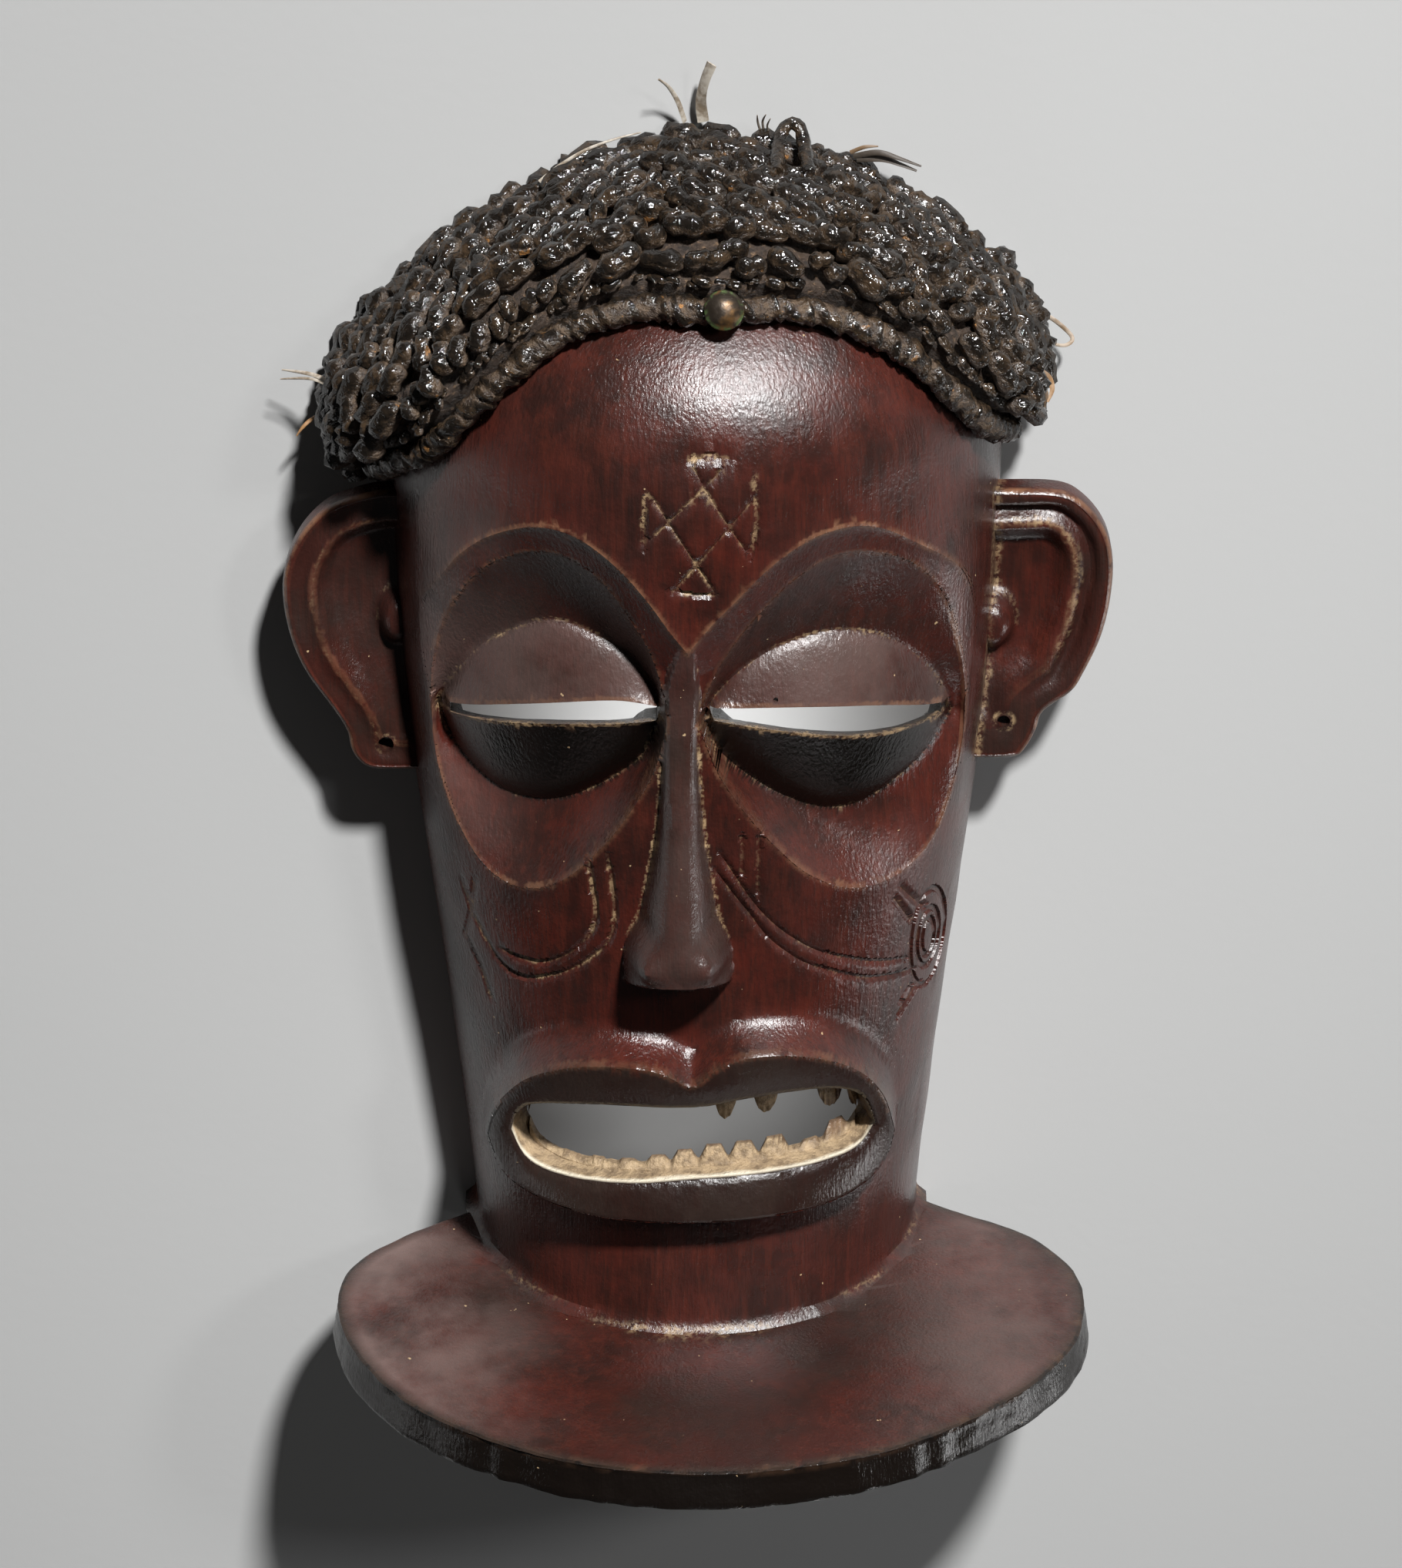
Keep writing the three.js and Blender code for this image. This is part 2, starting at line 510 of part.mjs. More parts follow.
// The tack's domed head, on the roll.
function tackSolid(radius, under) {
  const head = [[0, -under], [radius, -under], [radius, 0.7], [0.9 * radius, 1.6], [0.66 * radius, 2.6],
    [0.33 * radius, 3.2], [0, 3.4]];
  const geometry = new THREE.LatheGeometry(head.map(([r, h]) => new THREE.Vector2(r, h)), 12);
  const { at, normal } = overFace(line(WIG_ARCH)(TACK_AT), ROLL_LIFT);
  normal.applyAxisAngle(new THREE.Vector3(1, 0, 0), TACK_TURN);
  at.addScaledVector(normal, ROLL_RADIUS + GAP);
  geometry.applyQuaternion(new THREE.Quaternion().setFromUnitVectors(new THREE.Vector3(0, 1, 0), normal));
  geometry.translate(at.x, at.y, at.z);
  return solid(geometry);
}

// A point over the face just behind the roll.
function besideRoll(fraction, lift) {
  const arch = line(WIG_ARCH);
  const here = overFace(arch(fraction), 0);
  const along = overFace(arch(fraction + 0.01), 0).at.sub(overFace(arch(fraction - 0.01), 0).at).normalize();
  const back = new THREE.Vector3().crossVectors(here.normal, along).normalize();
  here.at.addScaledVector(back, ROLL_RADIUS + GAP);
  return overFace([here.at.x, here.at.y], lift).at;
}

function wig() {
  const across = 4 * KNOTS_ACROSS;
  const back = 2 * KNOT_ROWS;
  const rim = line(WIG_RIM);
  const inside = point(WIG_MIDDLE, 0);
  const rings = steps(across).map((t) => {
    const rimXy = rim(t);
    const front = besideRoll(t, WIG_FRONT);
    const frontXy = [front.x, front.y];
    const outer = steps(back).map((s, i) => {
      const turn = s * Math.PI / 2;
      const at = point(between(frontXy, rimXy, Math.sin(turn)), front.z * Math.cos(turn));
      const row = Math.floor((i - 1) / 2);
      const side = Math.abs(Math.sin(Math.PI * (t * KNOTS_ACROSS + 0.5 * (row % 2))));
      const bump = i % 2 === 1 ? KNOT_HEIGHT * side : 0;
      const out = at.clone().sub(inside).normalize();
      at.addScaledVector(out, bump);
      return at.setZ(Math.max(at.z, 0));
    });
    const deep = between(WIG_MIDDLE, rimXy, 0.72);
    return [...outer, point(deep, 0), besideRoll(t, WIG_SUNK)];
  });
  return loft(rings)
    .subtract(troughSolid(trough(FACE, GAP), -4, -5, FACE_STEPS))
    .subtract(earLug(LEFT_EAR, 2 * GAP))
    .subtract(earLug(RIGHT_EAR, 2 * GAP))
    .subtract(rollSolid(ROLL_RADIUS + GAP))
    .subtract(tackSolid(TACK_RADIUS + GAP, 1));
}

function mesh(name, body, material) {
  const { vertProperties, triVerts } = body.getMesh();
  const geometry = new THREE.BufferGeometry();
  geometry.setAttribute('position', new THREE.BufferAttribute(vertProperties, 3));
  geometry.setIndex(new THREE.BufferAttribute(triVerts, 1));
  const node = new THREE.Mesh(geometry, material);
  node.name = name;
  return node;
}

const mask = new THREE.Group();
mask.add(mesh('carved_mask', carvedMask(), WOOD));
mask.add(mesh('fibre_wig', wig(), FIBRE));
mask.add(mesh('wig_edge_roll', rollSolid(ROLL_RADIUS), BOUND_FIBRE));
mask.add(mesh('brass_tack', tackSolid(TACK_RADIUS, 0), BRASS));

// The origin is moved to the middle of the underside.
const box = new THREE.Box3().setFromObject(mask);
const centre = box.getCenter(new THREE.Vector3());
mask.position.set(-centre.x, -centre.y, -box.min.z);

export default mask;
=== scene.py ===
"""A carved wooden face mask with a knotted fibre wig, lying on its back on a pale floor.

The mask's own millimetres have X across the face, Y from the beard to the crown and Z out of the
face, with Y = 0 where the chin meets the beard and Z = 0 in the plane of the back rim. Lengths are
in them, apart from the lights' sizes and places, which are in metres.
"""

import math

import bmesh
import bpy
import numpy as np
from bpy.props import FloatProperty, FloatVectorProperty, IntProperty, PointerProperty
from mathutils import Matrix, Vector


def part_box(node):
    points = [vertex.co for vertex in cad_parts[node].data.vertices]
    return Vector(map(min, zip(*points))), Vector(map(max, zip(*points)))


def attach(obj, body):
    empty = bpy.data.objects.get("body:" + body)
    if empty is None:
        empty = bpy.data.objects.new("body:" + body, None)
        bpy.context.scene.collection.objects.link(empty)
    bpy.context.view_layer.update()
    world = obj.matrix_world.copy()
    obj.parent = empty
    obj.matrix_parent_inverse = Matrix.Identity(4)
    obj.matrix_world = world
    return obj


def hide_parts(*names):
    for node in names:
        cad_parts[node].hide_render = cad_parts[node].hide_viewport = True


bl_info = {
    "name": "Carved Face Mask",
    "version": (1, 0, 0),
    "blender": (4, 5, 0),
    "location": "View3D > Sidebar > Mask",
    "description": "Builds a carved wooden face mask with a knotted fibre wig on a pale floor",
    "category": "Add Mesh",
}

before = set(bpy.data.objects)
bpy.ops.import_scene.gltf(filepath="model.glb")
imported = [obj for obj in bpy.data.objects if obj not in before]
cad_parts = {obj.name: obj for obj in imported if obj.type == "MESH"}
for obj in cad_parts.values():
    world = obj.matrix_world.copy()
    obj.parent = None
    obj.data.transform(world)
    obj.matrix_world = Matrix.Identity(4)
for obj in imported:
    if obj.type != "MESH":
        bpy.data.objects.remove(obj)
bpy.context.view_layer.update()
LOWEST_CORNER = Vector((-108.49760, -16.61355, 0.0))
SHIFT = np.array(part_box("carved_mask")[0] * 1000 - LOWEST_CORNER)

# The main form of the face and of the hollow behind it, as [height up the face, value].
FACE = {
    "half_width": [(-20, 60.5), (0, 61), (44, 65), (92, 70), (144, 76), (185, 79), (224, 80.5), (245, 80.7)],
    "depth": [(-20, 68.5), (0, 68), (20, 66), (45, 65), (70, 66), (110, 69), (150, 73.5), (190, 79),
              (222, 84), (245, 86)],
    "squareness": [(-20, 2.1), (0, 2.1), (60, 2.25), (150, 2.45), (200, 2.35), (245, 2)],
    "crown_rise": 64,
}
HOLLOW = {
    "half_width": [(-20, 52), (44, 56.5), (92, 61.5), (144, 67.5), (185, 70.5), (245, 72)],
    "depth": [(-20, 54), (60, 57), (110, 58), (150, 56), (195, 57), (225, 66), (245, 72)],
    "squareness": FACE["squareness"],
    "crown_rise": 55,
}
CROWN_START = 245
CROWN_POWER = 2.1
CHIN_FILLET = 3.5
# The face's block starts a little inside the beard, and the hollow a little over it.
BLOCK_FOOT = -4
HOLLOW_FOOT = 8
# Past this share of the half width the face is too steep to be carved from the front.
SIDE_START = 0.93
# A height that never shows, for forms that end.
FAR_BELOW = -99

BEARD_THICKNESS = 10.5
BEARD_DROOP = math.tan(math.radians(5))
BEARD_FRONT = 62
BEARD_OUTLINE = [
    (-57, 0), (-63, 10.5), (-80, 22.5), (-93, 35), (-98, 51), (-95, 70), (-87, 87), (-73, 104), (-53, 118),
    (-28, 128), (0, 131), (24, 129.5), (50, 122), (74, 107.5), (92, 90), (103, 72), (106.2, 54),
    (103.5, 38.5), (92, 22.5), (70, 9), (57, 0),
]

# Every line of an eye runs from the outer corner to the inner one, and a crest to the root of the nose.
EYES = [
    {
        "socket_top": [(-69, 176), (-68, 190), (-62, 208.5), (-52, 223), (-38, 229.3), (-25, 225),
                       (-15, 210.5), (-9.5, 197), (-7.3, 184)],
        "socket_bottom": [(-69, 176), (-68, 160), (-63.5, 145), (-56, 133.5), (-47, 129.8), (-36, 133.5),
                          (-25, 145), (-17, 157), (-10.6, 170), (-7.3, 184)],
        "lid_top": [(-67.5, 174), (-61, 187), (-52, 198), (-36, 206.5), (-20, 201), (-12.6, 193),
                    (-8.6, 184.5)],
        "lid_bottom": [(-67.5, 174), (-64.6, 165.5), (-59, 158.5), (-51, 153.2), (-40, 152), (-29, 156.3),
                       (-19, 164), (-13, 171), (-8.6, 184.5)],
        "slit_top": [(-64, 176.8), (-50, 182.2), (-35, 186), (-20, 188), (-9, 186.2)],
        "slit_bottom": [(-64, 174), (-50, 177), (-35, 179.6), (-20, 181), (-9, 182.2)],
        "crest": [(-69.6, 178), (-71.8, 192), (-71, 204), (-68, 210.3), (-64.5, 216.7), (-59.4, 224.6),
                  (-51.1, 232.4), (-39.8, 237.5), (-29.4, 236.4), (-19.8, 229.7), (-12.1, 220.6),
                  (-6.4, 211.8), (-1.9, 205.5)],
    },
    {
        "socket_top": [(70.5, 176), (69, 190), (64, 209), (56, 221.5), (47, 227), (36, 228.8), (25, 223.8),
                       (14, 212), (5.5, 198), (0.8, 184)],
        "socket_bottom": [(70.5, 176), (70, 163), (67.5, 150), (62, 137.5), (53, 131.2), (42, 130.6),
                          (31, 136), (22, 145), (13, 157), (6, 169), (0.8, 184)],
        "lid_top": [(66.8, 171.5), (64, 181), (58, 190.5), (49.5, 198.8), (36, 203.3), (23, 201.3),
                    (13.5, 196.3), (6, 189.3), (2, 182.5)],
        "lid_bottom": [(66.8, 171.5), (60, 161.8), (52, 155.5), (44, 151.2), (36, 150.3), (28, 152.8),
                       (19.5, 158), (11.5, 165), (5.5, 172.5), (2, 182.5)],
        "slit_top": [(64, 176.6), (50, 182), (36, 184.7), (20, 186), (3.5, 186)],
        "slit_bottom": [(64, 173.6), (50, 174), (36, 176), (20, 179.3), (3.5, 182.6)],
        "crest": [(71, 178), (72.4, 190), (72, 203), (69.5, 212.5), (64.5, 220.6), (54.1, 230.2), (46, 235.8),
                  (38.1, 237.8), (28.4, 236.1), (18.7, 229.8), (9.1, 219.6), (3.3, 212.9), (-1.9, 205.5)],
    },
]
BRIDGE = [(-1.9, 205.5), (-3.3, 197), (-3.4, 184)]
CREST_POINTS = 90
SLIT_POINTS = 50
SLIT_DEPTH = 5
LID_RELIEF = 8.5
BEVEL_SLOPE = 0.44
BEVEL_REACH = 9.5
SLIT_SLANT = math.tan(math.radians(12))
EYE_WALL = 4.5

# The nose: (height, half width at the cheek, height of the ridge over Z = 0).
NOSE = [(208, 1.6, 81.4), (197, 3.2, 80.2), (184, 4, 79.8), (168, 4.8, 81), (150, 6.2, 83.4),
        (134, 8.8, 85.6), (126, 10.4, 87), (120, 12.8, 88), (116.5, 13.9, 88.2), (113, 14.1, 87)]
NOSE_MIDDLE = [(112, -4.7), (150, -4), (197, -3.2), (208, -1.9)]
NOSE_ROOT = 208
NOSE_BASE = 113
NOSE_TIP = 87.6
NOSE_UNDERCUT = 0.36

LIP_TOP = [(-57, 49), (-54.8, 58), (-50, 68), (-43.6, 76), (-33, 82), (-21, 84.2), (-10, 83.3), (-1, 79.2),
           (5.5, 84.2), (14, 87.6), (25, 87.2), (36, 83.4), (44.5, 76.6), (50.5, 66), (53.6, 53)]
LIP_BOTTOM = [(-57, 49), (-53, 40.8), (-46, 38), (-34, 37), (-18, 37), (0, 37.4), (20, 38), (36, 38.7),
              (46, 41), (51.5, 45.5), (53.6, 53)]
MOUTH_TOP = [(-49.6, 54), (-47.6, 61), (-41.5, 66.5), (-25, 70.5), (0, 71.4), (12, 73.4), (25, 74.4),
             (37, 73), (44.5, 67.5), (47.8, 57)]
MOUTH_BOTTOM = [(-49.6, 54), (-45.6, 47.2), (-36, 45.6), (-17, 46.9), (0, 49), (20, 50), (34, 50.6),
                (43.5, 52), (47.8, 57)]
LIP_RISE = 11
LIP_INNER_RISE = 8
MOUTH_WALL = 16
MOUTH_MIDDLE = np.array([-1, 59.5])
MOUTH_TAPER = 0.86
MOUTH_POCKET = 6
# (place across the face, width, height over the worn gum)
LOWER_TEETH = [(-33, 6, 1.2), (-26, 5, 1.6), (-18, 6, 1.8), (-10, 6.4, 2.8), (-3, 6.6, 3.8), (4.8, 7, 4.8),
               (12.8, 7.2, 5), (21, 7.4, 5.2), (30.5, 6, 2), (37.5, 6.4, 4.8)]
UPPER_TEETH = [(8, 5.4, 9), (18.7, 6.2, 9.2), (35.6, 6.4, 9), (42.4, 3.6, 5)]

# Hole and knob: (place across, height, ...), with the hole's depth and radius or the knob's half width and
# half height. Band: the floor's height under the rim at distances in from it. Shell: where the floor drops
# for good. Fade: the heights between which the rolled rim begins. Fold: the crease's distance from the rim.
EARS = [
    {
        "side": -1,
        "outline": [(-66, 226), (-79.7, 226.9), (-89, 225), (-97, 221.4), (-103.8, 213.8), (-107.9, 203.8),
                    (-108.3, 193.6), (-106.2, 182.6), (-102.4, 173.7), (-96.6, 164.8), (-92.8, 158),
                    (-91.6, 152.2), (-88.4, 147.9), (-82.8, 146.6), (-68, 147)],
        "hole": (-82.4, 154.2, 20, 2.1),
        "knob": (-78.5, 190, 5.4, 8.5),
        "band": ([1.3, 2.6, 4, 5.4, 6.6, 7.5, 8.4, 9.5, 15],
                 [0, -0.45, -0.8, -0.6, -0.1, 0.1, -0.1, -0.6, -1]),
        "shell": (7.6, 12.5),
        "fade": (146, 158),
        "fold": 7.5,
        "dust": (0.5, 1.1),
        "seam_dust": 0.3,
    },
    {
        "side": 1,
        "outline": [(66, 226.6), (79.5, 227.2), (94.5, 226.8), (101.6, 223), (107, 215.8), (109.3, 207),
                    (109, 195.8), (106.8, 184.8), (102.6, 174.6), (99.4, 169.2), (92.3, 163.6), (90.4, 158),
                    (87.6, 152.6), (84, 150.2), (68, 150)],
        "hole": (81.7, 161.1, 20, 1.7),
        "knob": (78.5, 188.5, 6, 8.5),
        "band": ([1.3, 2.5, 3.9, 4.8, 5.6, 6.6, 7.6, 9, 10.6, 12, 15],
                 [0, -0.1, -0.5, -2.6, -3.7, -2.8, -1.2, -0.4, -0.3, -0.7, -1.4]),
        "shell": (10.8, 15),
        "fade": (164, 184),
        "fold": 9.4,
        "dust": (0.72, 1.7),
        "seam_dust": 0.8,
    },
]
EAR_BACK = 16.4
EAR_RIM = 25.4
EAR_FLOOR = 20.4
EAR_ROOT = 70.0
EAR_COLUMNS = 104
EAR_BEVEL = np.array([0, 0.25, 0.7, 1.3])

# Lines cut into the wood, and the half widths of the grooves.
FOREHEAD_CUTS = [
    [(-2.2, 258.2), (3, 259), (9.2, 258.6)], [(-1.1, 257.8), (5.4, 246), (12.9, 233.7)],
    [(8.3, 257.9), (-1.4, 248), (-11.8, 236.9)], [(-12, 250.9), (-12.7, 243), (-12.8, 234.8)],
    [(-11.6, 250.6), (-3.4, 236.6), (5.1, 222.4)], [(15.3, 250.2), (15.4, 241), (13.9, 232.2)],
    [(15.6, 249.6), (5.4, 237), (-5.9, 222.7)], [(-6.6, 223.5), (-1, 222.2), (5.2, 222.2)],
]
CHEEK_CUTS = [
    [(-22.7, 144), (-22, 137), (-21.3, 129.9), (-21.3, 122.8), (-23.2, 116.6), (-27.9, 111.1), (-34.1, 106),
     (-41.3, 102.2), (-46.5, 100.9), (-50.7, 102.3), (-53.8, 105.7), (-56.8, 111.5), (-59.5, 117.4),
     (-61.8, 124.7)],
    [(-27.8, 142.3), (-27, 134.1), (-26.1, 127), (-26.8, 121), (-29.9, 115.7), (-34, 111.3), (-40.2, 107.4),
     (-45.4, 106.9), (-51.6, 107.5)],
    [(-58.1, 127.2), (-59.3, 116.3), (-61.3, 105.7)], [(-61.3, 107), (-57.2, 98.6), (-54.2, 89.1)],
    [(6.4, 144.8), (10.4, 137.6), (15.4, 129.2), (21.5, 121.6), (29.7, 114.5), (37.9, 109.7), (46.2, 105.7),
     (55.7, 102.1)],
    [(5, 140.1), (9.4, 133), (14.4, 125.7), (19.5, 118.1), (27.7, 110.5), (35.9, 105.6), (44.2, 101.2),
     (50.5, 99.1), (58, 97.2)],
    [(12.3, 150.5), (12.4, 137.6)], [(16.7, 150.3), (16.4, 131.5)], [(54.1, 126.8), (60.7, 116.5)],
    [(52.5, 123.9), (57.6, 113.6)], [(59.9, 91.2), (54, 84.1)], [(57.5, 91.9), (55, 88.6)],
]
FOREHEAD_GROOVE = 0.42
CHEEK_GROOVE = 0.55
# Pale chips beside the forehead's motif: (place across, height, size).
CHIPS = [(10.2, 255.2, 1.5), (14.8, 251.9, 1.2), (-0.6, 258.8, 0.9)]
# A pin hole: (place across, height, its middle over the back, radius).
LID_HOLE = (20.5, 187.9, 75, 0.65)
SUN_CENTRE = (62.1, 104.9)
SUN_RINGS = [(4.9, 16), (3.1, 9.6), (1.7, 6)]
SUN_STRETCH = (1.9, 1)

# The roll's line over the forehead, and the wig's outline in the plane of the back rim.
WIG_ARCH = [(-80.2, 229.6), (-73.5, 239.6), (-63.5, 250.5), (-47.5, 269.5), (-31, 282.5), (-14, 288.3),
            (3, 288.3), (20, 287.8), (35, 284), (50.5, 275), (62.5, 262), (71, 251.5), (78.5, 243.5)]
WIG_RIM = [(-85.5, 228), (-94.5, 240), (-92.5, 256), (-80, 272), (-65, 287), (-46, 300), (-25, 310),
           (0, 316.5), (25, 312), (47, 304), (68, 290), (83, 275), (89, 262), (88, 251), (82, 243)]
WIG_MIDDLE = (0, 236, 0)
WIG_FRONT = 10.5
ROLL_RADIUS = 3.6
GAP = 0.3
ROLL_LIFT = ROLL_RADIUS + 2 * GAP
TACK_AT = 0.555
TACK_TURN = math.radians(28)
TACK_PROFILE = [(0, 3.4), (1.2, 3.32), (2.3, 3.02), (3.2, 2.5), (3.9, 1.85), (4.35, 1.25), (4.7, 1.05),
                (5, 0.8), (5.02, 0.45), (4.7, 0.1), (0, 0)]
WAX_CRUMBS = 90

# The photograph's view: the point looked at, the distance and the tilt toward the crown.
LOOKED_AT = np.array([1.4, 159, 60])
CAMERA_DISTANCE = 1400
CAMERA_TILT = math.radians(25)
CAMERA_BACK = np.array([0, math.sin(CAMERA_TILT), math.cos(CAMERA_TILT)])
CAMERA_UP = np.array([0, math.cos(CAMERA_TILT), -math.sin(CAMERA_TILT)])
PHOTO_SIZE = (1820, 2036)
MM_PER_PIXEL = 0.2
SENSOR = 36

# (name, watts, size, place and aim from the point looked at, spread in degrees)
SIDE_LIGHTS = [
    ("right", 0.32, 0.3, (1.2, -0.6, 0.12), (0, 0, 0), 60),
    ("left", 0.05, 0.3, (-1.2, -0.5, 0.12), (0, 0, 0), 60),
    ("low", 0.5, 0.3, (1.25, 1.1, 1.7), (0.05, -0.2, -0.06), 40),
    ("chin", 0.8, 0.5, (0.35, -1.9, 0.3), (0, 0, 0), 70),
]
# Lights inside the hollow, so that the floor shows pale through the eyes and the mouth: (place, watts).
HOLLOW_LIGHTS = [((0, 45, 28), 0.012), ((0, 150, 36), 0.06)]


class MaskSettings(bpy.types.PropertyGroup):
    """Sizes and colours of the mask"""

    brow_rise: FloatProperty(
        name="Brow rise", description="How far the forehead rises to the brow's crest, in millimetres",
        default=0.8, min=0, max=3)
    cut_depth: FloatProperty(
        name="Cut depth", description="Depth of the lines cut into the wood, in millimetres",
        default=0.85, min=0, max=2)
    carving_unevenness: FloatProperty(
        name="Unevenness", description="Height of the slow waves that the knife left, in millimetres",
        default=0.22, min=0, max=1)
    knot_length: FloatProperty(
        name="Knot length", description="Length of a knot in the wig, in millimetres",
        default=12.8, min=6, max=20)
    knot_width: FloatProperty(
        name="Knot width", description="Width of a knot in the wig, in millimetres",
        default=8.2, min=3, max=12)
    knot_rows: IntProperty(
        name="Knot rows", description="Rows of knots from the forehead to the back rim",
        default=12, min=4, max=20)
    wood_colour: FloatVectorProperty(
        name="Wood", description="Stained and polished wood", subtype="COLOR", size=4,
        default=(0.047, 0.0088, 0.0058, 1), min=0, max=1)
    patina_colour: FloatVectorProperty(
        name="Patina", description="Dark, greasy patina over the stain", subtype="COLOR", size=4,
        default=(0.0085, 0.0052, 0.0042, 1), min=0, max=1)
    dust_colour: FloatVectorProperty(
        name="Dust", description="Old dust and clay in the crevices", subtype="COLOR", size=4,
        default=(0.30, 0.205, 0.11, 1), min=0, max=1)
    raw_colour: FloatVectorProperty(
        name="Raw wood", description="Unstained wood inside the mouth", subtype="COLOR", size=4,
        default=(0.56, 0.5, 0.39, 1), min=0, max=1)
    fibre_colour: FloatVectorProperty(
        name="Fibre", description="Loose plant fibre between the knots", subtype="COLOR", size=4,
        default=(0.052, 0.032, 0.02, 1), min=0, max=1)
    floor_colour: FloatVectorProperty(
        name="Floor", description="Colour of the floor", subtype="COLOR", size=4,
        default=(0.34, 0.34, 0.337, 1), min=0, max=1)
    key_power: FloatProperty(
        name="Key light", description="Power of the main soft light, in watts", default=19.5, min=0, max=50)


def noise(points, size, seed=0):
    """Smooth noise from -1 to 1, with features of a given size in the points' own unit."""
    q = np.asarray(points, float) / size + seed * 17.13
    cell = np.floor(q).astype(np.int64)
    t = q - cell
    t = t * t * (3 - 2 * t)
    total = 0
    for corner in range(8):
        step = np.array([corner & 1, corner >> 1 & 1, corner >> 2 & 1])
        at = cell + step
        h = at[:, 0] * 374761393 + at[:, 1] * 668265263 + at[:, 2] * 1440662683 + seed * 974711
        h = (h ^ (h >> 13)) * 1274126177
        value = ((h ^ (h >> 16)) & 0xFFFF) / 32767.5 - 1
        total = total + value * np.prod(np.where(step, t, 1 - t), axis=1)
    return total


def lerp(a, b, t):
    """A value a share t of the way from a to b."""
    return a + (b - a) * t


def bell(distance, width):
    """1 at no distance, falling smoothly to nothing about two widths away."""
    return np.exp(-(distance / width) ** 2)


def unit(vectors):
    """The same directions, each with length 1."""
    return vectors / np.maximum(np.linalg.norm(vectors, axis=-1), 1e-9)[..., None]


def ease(value, low, high):
    """0 below low, 1 above high and smooth between."""
    t = np.clip((value - low) / (high - low), 0, 1)
    return t * t * (3 - 2 * t)


def smooth(pairs):
    """A smooth value between (place, value) pairs."""
    t, v = np.array(pairs, float).T

    def value(place):
        place = np.clip(place, min(t[0], t[-1]), max(t[0], t[-1]))
        k = np.clip(np.searchsorted(t, place, side="right") - 1, 0, len(t) - 2)
        t0, t1, v0, v1 = t[k], t[k + 1], v[k], v[k + 1]
        before, after = np.maximum(k - 1, 0), np.minimum(k + 2, len(t) - 1)
        tp, vp = np.where(k > 0, t[before], t1), np.where(k > 0, v[before], v1)
        tn, vn = np.where(k + 2 < len(t), t[after], t0), np.where(k + 2 < len(t), v[after], v0)
        p, half = (place - t0) / (t1 - t0), (t1 - t0) / 2
        wp, wn = half / (t0 - tp), half / (tn - t1)
        return (vp * (-wp * p**3 + 2 * wp * p**2 - wp * p)
                + v0 * ((1 + wp) * p**3 + (-1.5 - 2 * wp) * p**2 + (-0.5 + wp) * p + 1)
                + v1 * ((-1 - wn) * p**3 + (1.5 + wn) * p**2 + 0.5 * p)
                + vn * (wn * p**3 - wn * p**2))

    return value


def curve(points, count=70):
    """A smooth line through points, as evenly spaced points along it."""
    p = np.array(points, float)
    last = len(p) - 1
    t = np.linspace(0, last, 30 * last + 1)
    i = np.minimum(t.astype(int), last - 1)
    w = (t - i)[:, None]
    p0, p1, p2, p3 = p[np.maximum(i - 1, 0)], p[i], p[i + 1], p[np.minimum(i + 2, last)]
    v0, v1 = (p2 - p0) / 2, (p3 - p1) / 2
    dense = (2 * p1 - 2 * p2 + v0 + v1) * w**3 + (-3 * p1 + 3 * p2 - 2 * v0 - v1) * w**2 + v0 * w + p1
    return spaced(dense, count)


def lengths_along(line):
    """Length of a line up to each of its points."""
    return np.concatenate([[0], np.cumsum(np.linalg.norm(np.diff(line, axis=0), axis=1))])


def line_length(line):
    """The whole length of a line."""
    return lengths_along(line)[-1]


def spaced(line, count):
    """The same line as evenly spaced points."""
    along = lengths_along(line)
    at = np.linspace(0, along[-1], count)
    return np.column_stack([np.interp(at, along, column) for column in line.T])


def ring(top, bottom, count=70):
    """A closed line made of two lines that share their ends."""
    return np.vstack([curve(top, count), curve(bottom, count)[::-1][1:]])


def nearest(line, xy, reach=25.0):
    """Distance to a line, place along it as an index, and nearest point. Beyond reach they are rough."""
    distance = np.full(len(xy), reach)
    index = np.zeros(len(xy))
    point = xy.copy()
    low, high = line.min(0) - reach, line.max(0) + reach
    near = np.flatnonzero(((xy > low) & (xy < high)).all(1))
    a, ab = line[:-1], np.diff(line, axis=0)
    size = np.maximum((ab**2).sum(1), 1e-12)
    for part in np.array_split(near, len(near) // 12000 + 1):
        if not len(part):
            continue
        offset = xy[part][:, None] - a
        t = np.clip((offset * ab).sum(2) / size, 0, 1)
        gap = ((offset - t[..., None] * ab) ** 2).sum(2)
        k = gap.argmin(1)
        row = np.arange(len(part))
        t = t[row, k]
        distance[part] = np.minimum(np.sqrt(gap[row, k]), reach)
        index[part] = k + t
        point[part] = a[k] + t[:, None] * ab[k]
    return distance, index, point


def holds(line, xy):
    """Whether a closed line goes round each point."""
    inside = np.zeros(len(xy), bool)
    near = np.flatnonzero(((xy > line.min(0)) & (xy < line.max(0))).all(1))
    a, b = line, np.roll(line, -1, axis=0)
    for part in np.array_split(near, len(near) // 12000 + 1):
        x, y = xy[part, 0][:, None], xy[part, 1][:, None]
        rise = np.where(b[:, 1] == a[:, 1], 1e-12, b[:, 1] - a[:, 1])
        to_right = x < (b[:, 0] - a[:, 0]) * (y - a[:, 1]) / rise + a[:, 0]
        crossed = ((a[:, 1] > y) != (b[:, 1] > y)) & to_right
        inside[part] = crossed.sum(1) % 2 == 1
    return inside


